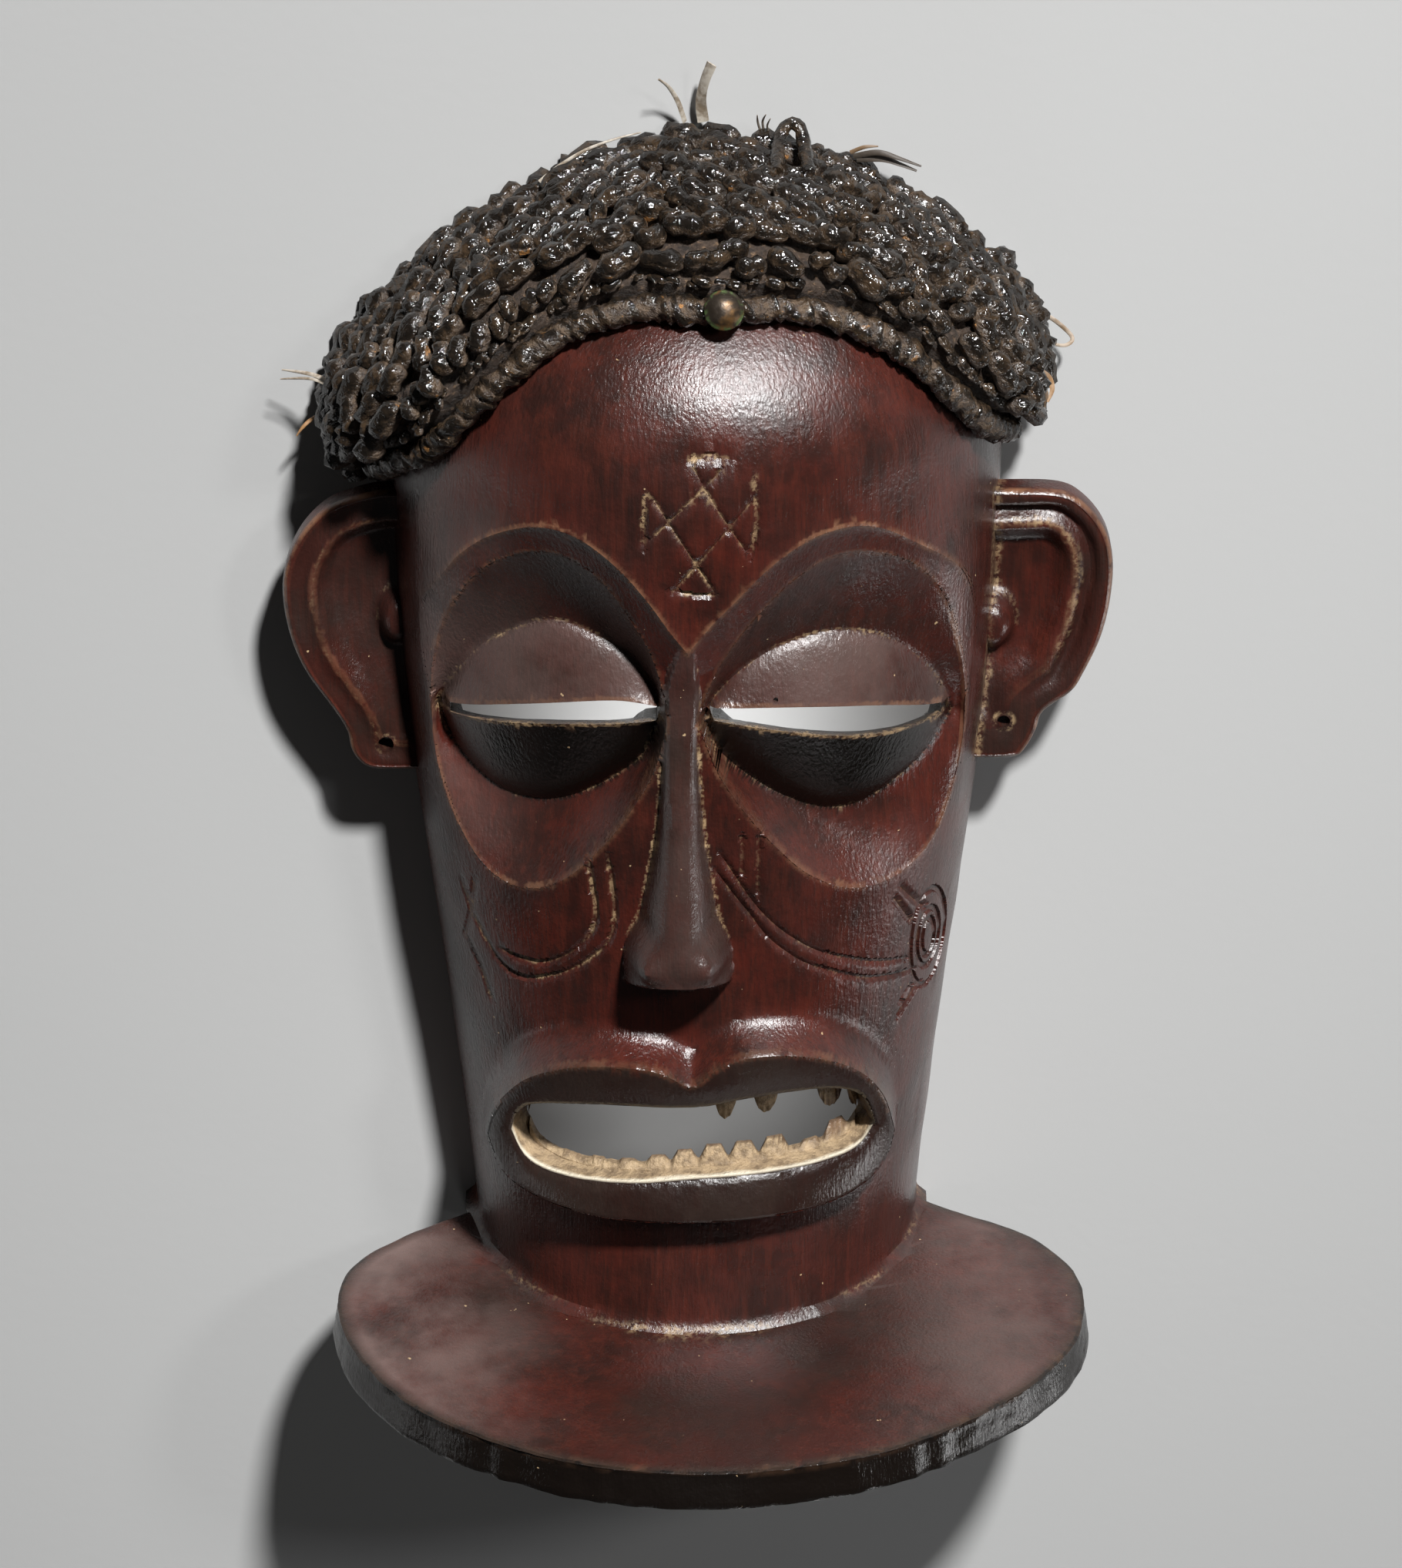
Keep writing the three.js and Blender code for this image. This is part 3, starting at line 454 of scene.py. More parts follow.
def outward(line):
    """Directions square to a closed line at its points, away from its inside."""
    along = unit(np.roll(line, -1, axis=0) - np.roll(line, 1, axis=0))
    area = (line[:, 0] * np.roll(line[:, 1], -1) - np.roll(line[:, 0], -1) * line[:, 1]).sum()
    return np.column_stack([along[:, 1], -along[:, 0]]) * np.sign(area)


def pick(values, place):
    """A value between the values of a list, at a place given as an index."""
    return np.interp(place, np.arange(len(values)), values)


def softened(values, times=6):
    """Values round a closed line, evened out between neighbours."""
    for _ in range(times):
        values = (np.roll(values, 1) + 2 * values + np.roll(values, -1)) / 4
    return values


class Trough:
    """Half a rounded tube, closed above by half a dome."""

    def __init__(self, form, grow=0.0):
        self.half_width, self.depth = smooth(form["half_width"]), smooth(form["depth"])
        self.squareness = smooth(form["squareness"])
        self.rise = form["crown_rise"] + grow
        self.grow = grow

    def section(self, y):
        up = np.clip((y - CROWN_START) / self.rise, 0, 1)
        shrink = np.sqrt(np.maximum(1 - up**CROWN_POWER, 1e-9))
        low = np.minimum(y, CROWN_START)
        width, depth = self.half_width(low) + self.grow, self.depth(low) + self.grow
        return width * shrink, depth * shrink, self.squareness(low)

    def height(self, x, y):
        w, d, p = self.section(y)
        return d * np.maximum(0, 1 - np.abs(x / w) ** p) ** (1 / p)

    def reach(self, xyz):
        """1 on the form, less inside it and more outside."""
        w, d, p = self.section(xyz[:, 1])
        return np.abs(xyz[:, 0] / w) ** p + np.abs(xyz[:, 2] / d) ** p

    def wrap(self, across, y):
        """Points on the form. Across runs evenly round the section, from -1 to 1."""
        heights = np.concatenate([np.arange(-6, CROWN_START, 2.0),
                                  CROWN_START + self.rise * np.sin(np.linspace(0, math.pi / 2, 50))])
        turn = np.linspace(0, math.pi / 2, 300)
        share = np.linspace(0, 1, 161)
        table = []
        for level in heights:
            w, d, p = (float(v) for v in self.section(np.float64(level)))
            x, z = w * np.sin(turn) ** (2 / p), d * np.cos(turn) ** (2 / p)
            along = np.concatenate([[0], np.cumsum(np.hypot(np.diff(x), np.diff(z)))])
            table.append([np.interp(share * along[-1], along, x), np.interp(share * along[-1], along, z)])
        table = np.array(table)
        k = np.clip(np.searchsorted(heights, y) - 1, 0, len(heights) - 2)
        t = np.clip((y - heights[k]) / (heights[k + 1] - heights[k]), 0, 1)
        s = np.clip(np.abs(across), 0, 1) * (len(share) - 1)
        j = np.minimum(s.astype(int), len(share) - 2)
        u = s - j
        value = [lerp(lerp(table[k, c, j], table[k, c, j + 1], u),
                      lerp(table[k + 1, c, j], table[k + 1, c, j + 1], u), t) for c in (0, 1)]
        return np.column_stack([np.sign(across) * value[0], y, value[1]])


face = Trough(FACE)
hollow = Trough(HOLLOW)


def ridge_depth(f):
    """Depth of the lid at its slit. F runs along the eye, from 0 at the outer corner to 1."""
    return SLIT_DEPTH + 1.6 * (f - 0.5) + 0.8 * (2 * f - 1) ** 4


def valley_depth(f):
    """Depth of the crease round the lid, at the same places."""
    return ridge_depth(f) + LID_RELIEF * np.sin(math.pi * (0.04 + 0.92 * np.clip(f, 0, 1))) ** 0.55


class Eye:
    """One eye's lines, and the depth of the carving round it."""

    def __init__(self, form):
        self.rim = ring(form["socket_top"], form["socket_bottom"])
        self.lid = ring(form["lid_top"], form["lid_bottom"])
        self.slit = ring(form["slit_top"], form["slit_bottom"], SLIT_POINTS)
        self.crest = curve(form["crest"], CREST_POINTS)
        rim_top = curve(form["socket_top"])
        self.bevel = np.vstack([self.crest, curve(BRIDGE, 12)[1:], rim_top[::-1]])
        away = nearest(self.crest, self.rim)[0]
        up = ease(outward(self.rim)[:, 1], -0.05, 0.3)
        self.rim_depth = softened(BEVEL_SLOPE * np.minimum(away, BEVEL_REACH) * up + 0.25)
        self.outer, self.inner = form["lid_top"][0][0], form["lid_top"][-1][0]
        # The crest's rise starts at nothing beside the eye.
        self.crest_share = ease(np.linspace(0, 1, CREST_POINTS), 0.16, 0.42)

    def along(self, x):
        return np.clip((x - self.outer) / (self.inner - self.outer), 0, 1)

    def depth(self, xy, brow_rise):
        """Depth under the smooth face, and whether a point is in the socket or on the bevel."""
        to_rim, rim_at, _ = nearest(self.rim, xy)
        in_rim = holds(self.rim, xy)
        to_crest, crest_at, _ = nearest(self.crest, xy)
        on_bevel = holds(self.bevel, xy) & ~in_rim
        rise = brow_rise * pick(self.crest_share, crest_at)
        edge = pick(self.rim_depth, rim_at)
        to_lid, in_lid = nearest(self.lid, xy)[0], holds(self.lid, xy)
        to_slit, in_slit = nearest(self.slit, xy)[0], holds(self.slit, xy)
        f = self.along(xy[:, 0])
        ridge, valley = ridge_depth(f), valley_depth(f)
        t = to_rim / np.maximum(to_rim + to_lid, 1e-6)
        bowl = lerp(edge, valley, 1 - (1 - t) ** 1.7)
        t = np.where(in_slit, 1, to_lid / np.maximum(to_lid + to_slit, 1e-6))
        bean = lerp(valley, ridge, t**0.72)
        sloped = BEVEL_SLOPE * np.minimum(to_crest, BEVEL_REACH) - rise * np.exp(-to_crest / 1.5)
        inside = np.where(in_lid, bean, bowl)
        swell = -rise * np.exp(-to_crest / 3.4)
        return np.where(in_rim, inside, np.where(on_bevel, sloped, swell)), in_rim | on_bevel


eyes = [Eye(form) for form in EYES]
lip_edge = ring(LIP_TOP, LIP_BOTTOM, 90)
mouth_edge = ring(MOUTH_TOP, MOUTH_BOTTOM, 90)
lip_rises = outward(lip_edge)[:, 1]
lip_flare = softened(np.where(lip_rises > 0, 1.5 + 9.5 * np.abs(lip_rises) ** 1.5, 1.0), 2)
cheek_lines = [curve(line, 40) for line in CHEEK_CUTS]
beard_line = curve(BEARD_OUTLINE, 240)
sun_lines = [np.array([(SUN_CENTRE[0] + rx * math.cos(a), SUN_CENTRE[1] + ry * math.sin(a))
                       for a in np.linspace(0, 2 * math.pi, 41)]) for rx, ry in SUN_RINGS]
forehead_lines = [curve(line, 24) for line in FOREHEAD_CUTS]


def nose_height(xy, cheek):
    """Height of the nose, far below the cheek beside it."""
    x, y = xy.T
    table = np.array(NOSE[::-1], float)
    level = np.clip(y, NOSE_BASE, NOSE_ROOT)
    half, top = (smooth(table[:, [0, column]])(level) for column in (1, 2))
    out = np.abs(x - smooth(NOSE_MIDDLE)(y))
    u = np.clip(out / half, 0, 1)
    square = lerp(2.3, 3.6, ease(y, 120, 175))
    rise = np.maximum(top - cheek, 0.4)
    z = cheek + rise * (1 - u**square) ** 0.72 - np.maximum(out - half, 0) * 4
    wing = np.exp(-((out - 8.8) / 3.1) ** 2 - ((y - 117.8) / 4.2) ** 2)
    z += 4.1 * wing - 1.3 * np.exp(-(out / 3.2) ** 2 - ((y - 116) / 4) ** 2)
    z -= 2.1 * np.exp(-((out - 9.0) / 2.8) ** 2 - ((y - 127) / 2.8) ** 2)
    z = np.minimum(z, NOSE_TIP - (NOSE_BASE - y) / NOSE_UNDERCUT)
    return np.where((y > 95) & (y < NOSE_ROOT + 1), z, FAR_BELOW)


def lip_height(xy, base):
    """Height of the lips, with a flare outside them that runs out into the cheek."""
    to_edge, at, _ = nearest(lip_edge, xy)
    inside = holds(lip_edge, xy)
    flare = pick(lip_flare, at)
    outer = -1.6 + (LIP_RISE + 1.6) * np.maximum(0, 1 - to_edge / flare) ** 2
    outer = np.where(to_edge < flare, outer, FAR_BELOW)
    to_mouth, in_mouth = nearest(mouth_edge, xy)[0], holds(mouth_edge, xy)
    t = np.where(in_mouth, 1, to_edge / np.maximum(to_edge + to_mouth, 1e-6))
    inner = np.interp(t, [0, 0.06, 0.3, 0.6, 0.9, 1], [10.8, 11.1, 10.8, 10.2, 9.0, LIP_INNER_RISE])
    return base + np.where(inside, inner, outer)


def soft_max(a, b, width):
    """The larger of two heights, with a fillet where they cross."""
    h = np.clip(0.5 + 0.5 * (a - b) / width, 0, 1)
    return lerp(b, a, h) + width * h * (1 - h)


def cut_profile(lines, xy, half_width):
    """1 along the middle of the lines that are cut into the wood, and 0 beside them."""
    depth = np.zeros(len(xy))
    for line in lines:
        gap, at, _ = nearest(line, xy, 4)
        ends = ease(np.minimum(at, len(line) - 1 - at), -0.5, 2.5)
        depth = np.maximum(depth, bell(gap, half_width) * lerp(0.35, 1, ends))
    return depth


def cheek_cut(xy):
    """The cuts on the cheeks, only scratched in on the far left."""
    # The rings are on the steep side, so they are measured wider than they look.
    rings = cut_profile([line * SUN_STRETCH for line in sun_lines], xy * SUN_STRETCH, CHEEK_GROOVE)
    scratched = lerp(0.3, 1, ease(xy[:, 0], -57, -46))
    return np.maximum(cut_profile(cheek_lines, xy, CHEEK_GROOVE) * scratched, 0.75 * rings)


def carved_height(xy, base, settings):
    """Height of the carved face over the plane of the back rim."""
    (left, in_left), (right, in_right) = (eye.depth(xy, settings.brow_rise) for eye in eyes)
    depth = np.where(in_left, left, np.where(in_right, right, np.minimum(left, right)))
    z = base - depth
    z = soft_max(nose_height(xy, base), z, 0.5)
    z = soft_max(lip_height(xy, base), z, 0.7)
    xyz = np.column_stack([xy, z])
    z = z + settings.carving_unevenness * (noise(xyz, 17, 3) + 0.5 * noise(xyz, 6, 4))
    return z - settings.cut_depth * cut_profile(forehead_lines, xy, FOREHEAD_GROOVE)


def nose_side(sign, count=len(NOSE)):
    """The line where one side of the nose meets the cheek, down from the root."""
    level, half = np.array(NOSE, float)[:, :2].T
    return curve(np.column_stack([smooth(NOSE_MIDDLE)(level) + sign * half, level])[:count], 40)


def least_distance(lines, xy):
    """Distance to the nearest of some lines."""
    return np.min([nearest(line, xy, 9)[0] for line in lines], axis=0)


def cut_distance(xy):
    """Distance to the nearest line that is cut into the wood."""
    return least_distance(forehead_lines + cheek_lines + sun_lines, xy)


def crease_distance(xy):
    """Distance to the nearest edge or line of the carving."""
    under_nose = np.array([(-18.5, 107), (-12, 112.6), (3, 112.6), (9.5, 107)])
    lines = [line for eye in eyes for line in (eye.rim, eye.lid, eye.slit, eye.crest)]
    lines += [lip_edge, mouth_edge, nose_side(-1), nose_side(1), under_nose]
    return np.minimum(cut_distance(xy), least_distance(lines, xy))


def coords(bm):
    """All points of a body being built."""
    return np.array([v.co for v in bm.verts], float).reshape(-1, 3)


def set_coords(bm, points):
    """Moves all points of a body being built."""
    for vert, point in zip(bm.verts, points.tolist()):
        vert.co = point


def in_frame(points):
    """From the mask's millimetres to the frame's metres."""
    return (np.asarray(points, float) + SHIFT) / 1000


def edges_round(bm, verts):
    """The edges of a closed loop of points."""
    return [bm.edges.get((verts[i - 1], verts[i])) for i in range(len(verts))]


def extrude_boundary(bm, edges):
    """Grows a strip of faces out of edges, and returns its new points."""
    made = bmesh.ops.extrude_edge_only(bm, edges=edges)["geom"]
    return [part for part in made if isinstance(part, bmesh.types.BMVert)]


def loft(bm, rings):
    """A closed body through rings of points, grown ring by ring out of a disc."""
    first = verts = bmesh.ops.create_circle(bm, cap_ends=False, segments=len(rings[0]), radius=1)["verts"]
    for number, points in enumerate(rings):
        if number:
            fresh = set(extrude_boundary(bm, edges_round(bm, verts)))
            verts = [next(o for o in (e.other_vert(v) for e in v.link_edges) if o in fresh) for v in verts]
        for vert, point in zip(verts, points):
            vert.co = point
    for end in (first, verts):
        bmesh.ops.contextual_create(bm, geom=edges_round(bm, end))
    return bm


def dome_levels(form, start, below, above):
    """Heights up a trough: evenly to where its dome starts, then closer together toward the top."""
    rise = form.rise * np.sin(np.linspace(0, math.pi / 2, above))
    return np.concatenate([np.linspace(start, CROWN_START, below), CROWN_START + rise[1:]])


def facing_out(bm):
    """Turns every face of a closed body outward."""
    bmesh.ops.recalc_face_normals(bm, faces=bm.faces)
    if bm.calc_volume(signed=True) < 0:
        bmesh.ops.reverse_faces(bm, faces=bm.faces)
    return bm


def new_object(name, bm):
    """Adds a body that has been built to the scene."""
    mesh = bpy.data.meshes.new(name)
    facing_out(bm).to_mesh(mesh)
    bm.free()
    obj = bpy.data.objects.new(name, mesh)
    bpy.context.scene.collection.objects.link(obj)
    return obj


def combine(obj, others, operation):
    """Joins other closed bodies to a body, or cuts them out of it, and removes them."""
    for other in others:
        modifier = obj.modifiers.new("combine", "BOOLEAN")
        modifier.operation, modifier.object, modifier.solver = operation, other, "MANIFOLD"
        bpy.context.view_layer.update()
        evaluated = obj.evaluated_get(bpy.context.evaluated_depsgraph_get())
        made = bpy.data.meshes.new_from_object(evaluated)
        if len(made.polygons) in (0, len(obj.data.polygons)):
            raise RuntimeError(f"{other.name} could not be combined with {obj.name}")
        obj.modifiers.clear()
        old, obj.data = obj.data, made
        bpy.data.meshes.remove(old)
        spare = other.data
        bpy.data.objects.remove(other)
        bpy.data.meshes.remove(spare)


def dress(obj, material, replaced=(), angle=38):
    """Gives a piece its finish, and its place on the frame."""
    obj.data.materials.clear()
    obj.data.materials.append(material)
    obj.data.shade_smooth()
    obj.data.set_sharp_from_angle(angle=math.radians(angle))
    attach(obj, "root")
    if replaced:
        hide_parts(*replaced)
    return obj


def store(mesh, name, values):
    """Keeps a number for each point of a mesh, for its material to read."""
    attribute = mesh.attributes.new(name, "FLOAT", "POINT")
    attribute.data.foreach_set("value", np.asarray(values, np.float32))


def points_of(mesh):
    """A mesh's points in the mask's millimetres."""
    flat = np.empty(len(mesh.vertices) * 3, np.float32)
    mesh.vertices.foreach_get("co", flat)
    return flat.reshape(-1, 3).astype(float) * 1000 - SHIFT


def draw_onto(line, xyz, allowed, pairs, reach):
    """Moves points that are close to an edge of the carving onto it, so that the edge comes out clean."""
    gap, _, point = nearest(line, xyz[:, :2], 4)
    close = (gap < reach) & allowed
    both = pairs[close[pairs].all(1)]
    shrunk = np.linalg.norm(point[both[:, 0]] - point[both[:, 1]], axis=1)
    long = np.linalg.norm(xyz[both[:, 0], :2] - xyz[both[:, 1], :2], axis=1)
    both = both[shrunk < 0.45 * long]
    further = np.where(gap[both[:, 0]] > gap[both[:, 1]], both[:, 0], both[:, 1])
    close[further] = False
    xyz[close, :2] = point[close]


def over_beard(xyz):
    """Height of points over the beard's front, square to it."""
    return xyz[:, 1] + (xyz[:, 2] - BEARD_FRONT) * BEARD_DROOP


def close_back(bm, chin, floor):
    """Closes an open trough with an arched face at the chin and a flat one over the back."""
    rim = [e for e in bm.edges if e.is_boundary]
    arch = {e for e in rim if all(abs(v.co.y - chin) < 0.01 for v in e.verts)}
    low = [v for e in arch for v in e.verts if v.co.z < floor + 0.01]
    chord = bm.edges.new((min(low, key=lambda v: v.co.x), max(low, key=lambda v: v.co.x)))
    bmesh.ops.contextual_create(bm, geom=[*arch, chord])
    bmesh.ops.contextual_create(bm, geom=[*(e for e in rim if e not in arch), chord])


def face_block(settings):
    """The carved front as a closed block with a flat back."""
    bm = bmesh.new()
    bmesh.ops.create_grid(bm, x_segments=124, y_segments=142, size=1)
    levels = dome_levels(face, BLOCK_FOOT, 118, 26)
    share = np.linspace(-1, 1, len(levels))

    def wrapped(flat):
        return face.wrap(flat[:, 0], np.interp(flat[:, 1], share, levels))

    for reach, distance in ((2.5, crease_distance), (1.1, crease_distance), (0.8, cut_distance)):
        near = distance(wrapped(coords(bm))[:, :2]) < reach
        bm.verts.ensure_lookup_table()
        chosen = [e for e in bm.edges if near[e.verts[0].index] and near[e.verts[1].index]]
        bmesh.ops.subdivide_edges(bm, edges=chosen, cuts=1, use_grid_fill=True, use_single_edge=True)
        bm.verts.index_update()

    xyz = wrapped(coords(bm))
    side_start = SIDE_START * face.section(xyz[:, 1])[0]
    inner = np.abs(xyz[:, 0]) < side_start
    pairs = np.array([(e.verts[0].index, e.verts[1].index) for e in bm.edges])
    for line in [line for eye in eyes for line in (eye.rim, eye.lid, eye.crest)] + [lip_edge, mouth_edge]:
        draw_onto(line, xyz, inner, pairs, 0.27)
    for line in forehead_lines + cheek_lines:
        draw_onto(line, xyz, inner, pairs, 0.14)
    xyz[inner, 2] = face.height(xyz[inner, 0], xyz[inner, 1])
    steep = np.abs(xyz[:, 0]) >= side_start
    height = carved_height(xyz[:, :2], xyz[:, 2], settings)
    xyz[:, 2] = np.where(steep, xyz[:, 2], height)
    # A fillet where the chin meets the beard.
    within = np.clip(CHIN_FILLET - over_beard(xyz), 0, CHIN_FILLET)
    swell = CHIN_FILLET - np.sqrt(np.maximum(CHIN_FILLET**2 - within**2, 0))
    out = unit(xyz[:, [0, 2]])
    xyz[:, [0, 2]] += out * swell[:, None]
    rough = settings.carving_unevenness * noise(xyz, 15, 9)
    xyz[:, [0, 2]] += out * (rough * steep)[:, None]
    brink = face.height(side_start, xyz[:, 1])
    cut = cheek_cut(xyz[:, :2]) * ease(xyz[:, 2], brink - 17, brink - 12)
    xyz[:, [0, 2]] -= out * (1.2 * settings.cut_depth * cut)[:, None]
    xyz[:, 2] = np.maximum(xyz[:, 2], 0)
    edge = np.abs(np.abs(coords(bm)[:, 0]) - 1) < 1e-6
    xyz[edge, 2] = 0
    set_coords(bm, xyz)
    pole = [v for v in bm.verts if v.co.y > CROWN_START + face.rise - 1e-3]
    bmesh.ops.remove_doubles(bm, verts=pole, dist=0.1)

    close_back(bm, BLOCK_FOOT, 0)
    set_coords(bm, in_frame(coords(bm)))
    return new_object("carved_wood", bm)


def hollow_cutter():
    """The hollow behind the face, with pockets behind the eyes."""
    bm = bmesh.new()
    bmesh.ops.create_grid(bm, x_segments=64, y_segments=84, size=1)
    levels = dome_levels(hollow, HOLLOW_FOOT, 68, 18)
    flat = coords(bm)
    xyz = hollow.wrap(flat[:, 0], np.interp(flat[:, 1], np.linspace(-1, 1, len(levels)), levels))
    xy = xyz[:, :2]
    for eye in eyes:
        middle = eye.lid.mean(0)
        pocket = middle + (eye.lid - middle) * 0.86
        gap = nearest(pocket, xy)[0]
        to_slit = np.where(holds(eye.slit, xy), 0, nearest(eye.slit, xy)[0])
        f = eye.along(xy[:, 0])
        t = gap / np.maximum(gap + to_slit, 1e-6)
        bean = lerp(valley_depth(f), ridge_depth(f), t**0.75) + EYE_WALL
        deep = np.where(holds(pocket, xy), face.height(*xy.T) - bean, 0)
        xyz[:, 2] = np.maximum(xyz[:, 2], deep)
    # The wood is thinner behind the mouth.
    to_mouth = np.where(holds(mouth_edge, xy), 0, nearest(mouth_edge, xy)[0])
    xyz[:, 2] += np.where(xyz[:, 2] > 30, MOUTH_POCKET * (1 - ease(to_mouth, 5, 15)), 0)
    # Flats left by the adze.
    strokes = noise(xyz * [1, 0.45, 1], 9, 21)
    xyz[:, 2] -= np.where(xyz[:, 2] > 6, 0.7 * np.abs(strokes) + 0.3 * noise(xyz, 4, 22), 0)
    edge = np.abs(np.abs(flat[:, 0]) - 1) < 1e-6
    xyz[edge, 2] = 0
    set_coords(bm, xyz)
    bmesh.ops.remove_doubles(bm, verts=bm.verts, dist=0.02)
    for vert in extrude_boundary(bm, [e for e in bm.edges if e.is_boundary]):
        if vert.co.z < 1e-3:
            vert.co.z = -5
    bmesh.ops.remove_doubles(bm, verts=bm.verts, dist=0.001)
    close_back(bm, HOLLOW_FOOT, -5)
    set_coords(bm, in_frame(coords(bm)))
    return new_object("hollow", bm)


def slit_cutter(eye):
    """The slit under one lid, slanted toward the crown so that it can be seen through from there."""
    x, y = eye.slit.T
    z = face.height(x, y) - ridge_depth(eye.along(x))
    rings = [np.column_stack([x, y + dz * SLIT_SLANT, z + dz]) for dz in (-45, 15)]
    return new_object("slit", loft(bmesh.new(), in_frame(rings)))


def mouth_cutter():
    """The mouth's opening, with the rough wall behind the lips."""
    edge = spaced(ring(MOUTH_TOP, MOUTH_BOTTOM), 121)[:-1]
    z = face.height(*edge.T) + LIP_INNER_RISE - 1.4
    rings = [np.column_stack([edge, np.full(len(edge), 100.0)])]
    for t in np.linspace(0, 1, 13):
        xy = MOUTH_MIDDLE + (edge - MOUTH_MIDDLE) * lerp(1, MOUTH_TAPER, t)
        points = np.column_stack([xy, z - MOUTH_WALL * t])
        gouge = 0.45 * noise(points * [1, 1, 0.5], 3.2, 31) + 0.35 * noise(points, 1.4, 32)
        points[:, :2] += outward(edge) * (gouge * ease(t, 0, 0.15))[:, None]
        rings.append(points)
    inner = MOUTH_MIDDLE + (edge - MOUTH_MIDDLE) * MOUTH_TAPER
    rings.append(np.column_stack([inner, np.full(len(edge), 5.0)]))
    return new_object("mouth", loft(bmesh.new(), [in_frame(r) for r in rings]))


def gum_line(edge):
    """The line that the teeth stand on, behind one edge of the mouth."""
    return MOUTH_MIDDLE + (curve(edge, 260) - MOUTH_MIDDLE) * lerp(1, MOUTH_TAPER, 0.63)


def tooth_row(name, teeth, edge, sign):
    """A row of broken teeth at the inner edge of the mouth's wall. Sign is 1 for the lower row."""
    x, y = gum_line(edge).T
    count = len(x)
    jag = np.column_stack([x, y, y])
    height = 0.3 + 0.55 * noise(jag, 1.7, 41) + 0.35 * noise(jag, 0.7, 42)
    height -= 0 if sign > 0 else 1.6
    for at, width, tall in teeth:
        away = np.abs(x - at) / (0.6 * width)
        shape = np.clip(1.9 - 1.9 * away, 0, 1) if sign > 0 else np.clip(1 - away**2, 0, 1) ** 0.6
        height = np.maximum(height, tall * shape + 0.15 * noise(jag, 0.9, 43) - 0.6)
    height *= ease(np.minimum(np.arange(count), count - 1 - np.arange(count)), 2, 22)
    z = hollow.height(x, y) + MOUTH_POCKET - 0.6
    rings = []
    for i in range(3, count - 3):
        low, top, deep = y[i] - sign * 4, y[i] + sign * height[i], z[i]
        wobble = 0.3 * math.sin(i * 1.7)
        waist = lerp(y[i] - sign * 0.5, top, 0.5)
        section = [(low, deep), (low, deep + 5), (y[i] - sign * 0.4, deep + 4.6), (waist, deep + 3.8),
                   (top, deep + 2.9 + wobble), (top, deep + 1.2), (waist, deep + 0.3)]
        rings.append(in_frame([(x[i], across, depth) for across, depth in section]))
    return new_object(name, loft(bmesh.new(), rings))


def ear_body(form):
    """One ear: a flat lug with a rolled rim, a shell-shaped floor and a small lobe."""
    outline = curve(form["outline"], EAR_COLUMNS + 1)
    normals = outward(np.vstack([outline, outline[:1]]))[:-1]
    normals[0], normals[-1] = normals[1], normals[-2]
    root = form["side"] * EAR_ROOT
    last = len(EAR_BEVEL) - 1
    inward = np.linspace(0, 1, 46) ** 1.15
    rows = last + len(inward) - 1
    bm = bmesh.new()
    bmesh.ops.create_grid(bm, x_segments=EAR_COLUMNS, y_segments=rows, size=1)
    column, row = np.rint((coords(bm)[:, :2].T + 1) / 2 * [[EAR_COLUMNS], [rows]]).astype(int)
    inset = EAR_BEVEL[np.minimum(row, last)]
    xy = outline[column] - normals[column] * inset[:, None]
    # The columns run from the rim to a shorter line inside the head.
    middle = (outline[:, 1].min() + outline[:, 1].max()) / 2
    target = np.column_stack([np.full(len(row), root), lerp(middle, outline[column, 1], 0.55)])
    xy = lerp(xy, target, inward[np.maximum(row - last, 0)][:, None])
    d = np.where(row <= last, inset, nearest(outline, xy, 40)[0])
    drop = ease(xy[:, 1], *form["fade"])
    floor = lerp(EAR_RIM - 1.0, EAR_FLOOR, ease(xy[:, 1], 150, 200))
    uneven = 1 + 0.1 * noise(np.column_stack([xy, xy[:, 0] * 0]), 26, 53)
    band = np.interp(d * uneven, *form["band"])
    plain = np.interp(d, EAR_BEVEL, [-2.2, -1.1, -0.35, 0])
    z = EAR_RIM + np.where(d > EAR_BEVEL[-1], lerp(plain, band, drop), plain)
    z = lerp(z, floor, ease(d * uneven, *form["shell"]))
    z -= 1.2 * ease(d, 12, 20) * drop
    tx, ty, rx, ry = form["knob"]
    bump = 1 - ((xy[:, 0] - tx) / rx) ** 2 - ((xy[:, 1] - ty) / ry) ** 2
    z = soft_max(z, EAR_FLOOR - 2 + 8 * ease(bump, -0.3, 0.9), 0.6)
    hx, hy = form["hole"][:2]
    away = np.hypot(xy[:, 0] - hx, xy[:, 1] - hy)
    z -= 0.6 * bell(away - 2.6, 1.2)
    z += 0.25 * noise(np.column_stack([xy, z]), 7, 51) * ease(d, 0.5, 2)
    set_coords(bm, np.column_stack([xy, z]))
    bm.verts.ensure_lookup_table()
    inner = [v for v in bm.verts if row[v.index] > 4 and not v.is_boundary]
    for _ in range(5):
        bmesh.ops.smooth_vert(bm, verts=inner, factor=0.5, use_axis_z=True)
    for share, depth in ((1, EAR_BACK + 1.2), (0.975, EAR_BACK)):
        for vert in extrude_boundary(bm, [e for e in bm.edges if e.is_boundary]):
            vert.co = (lerp(root, vert.co.x, share), lerp(middle, vert.co.y, share), depth)
    bmesh.ops.contextual_create(bm, geom=[e for e in bm.edges if e.is_boundary])
    set_coords(bm, in_frame(coords(bm)))
    return new_object("ear", bm)


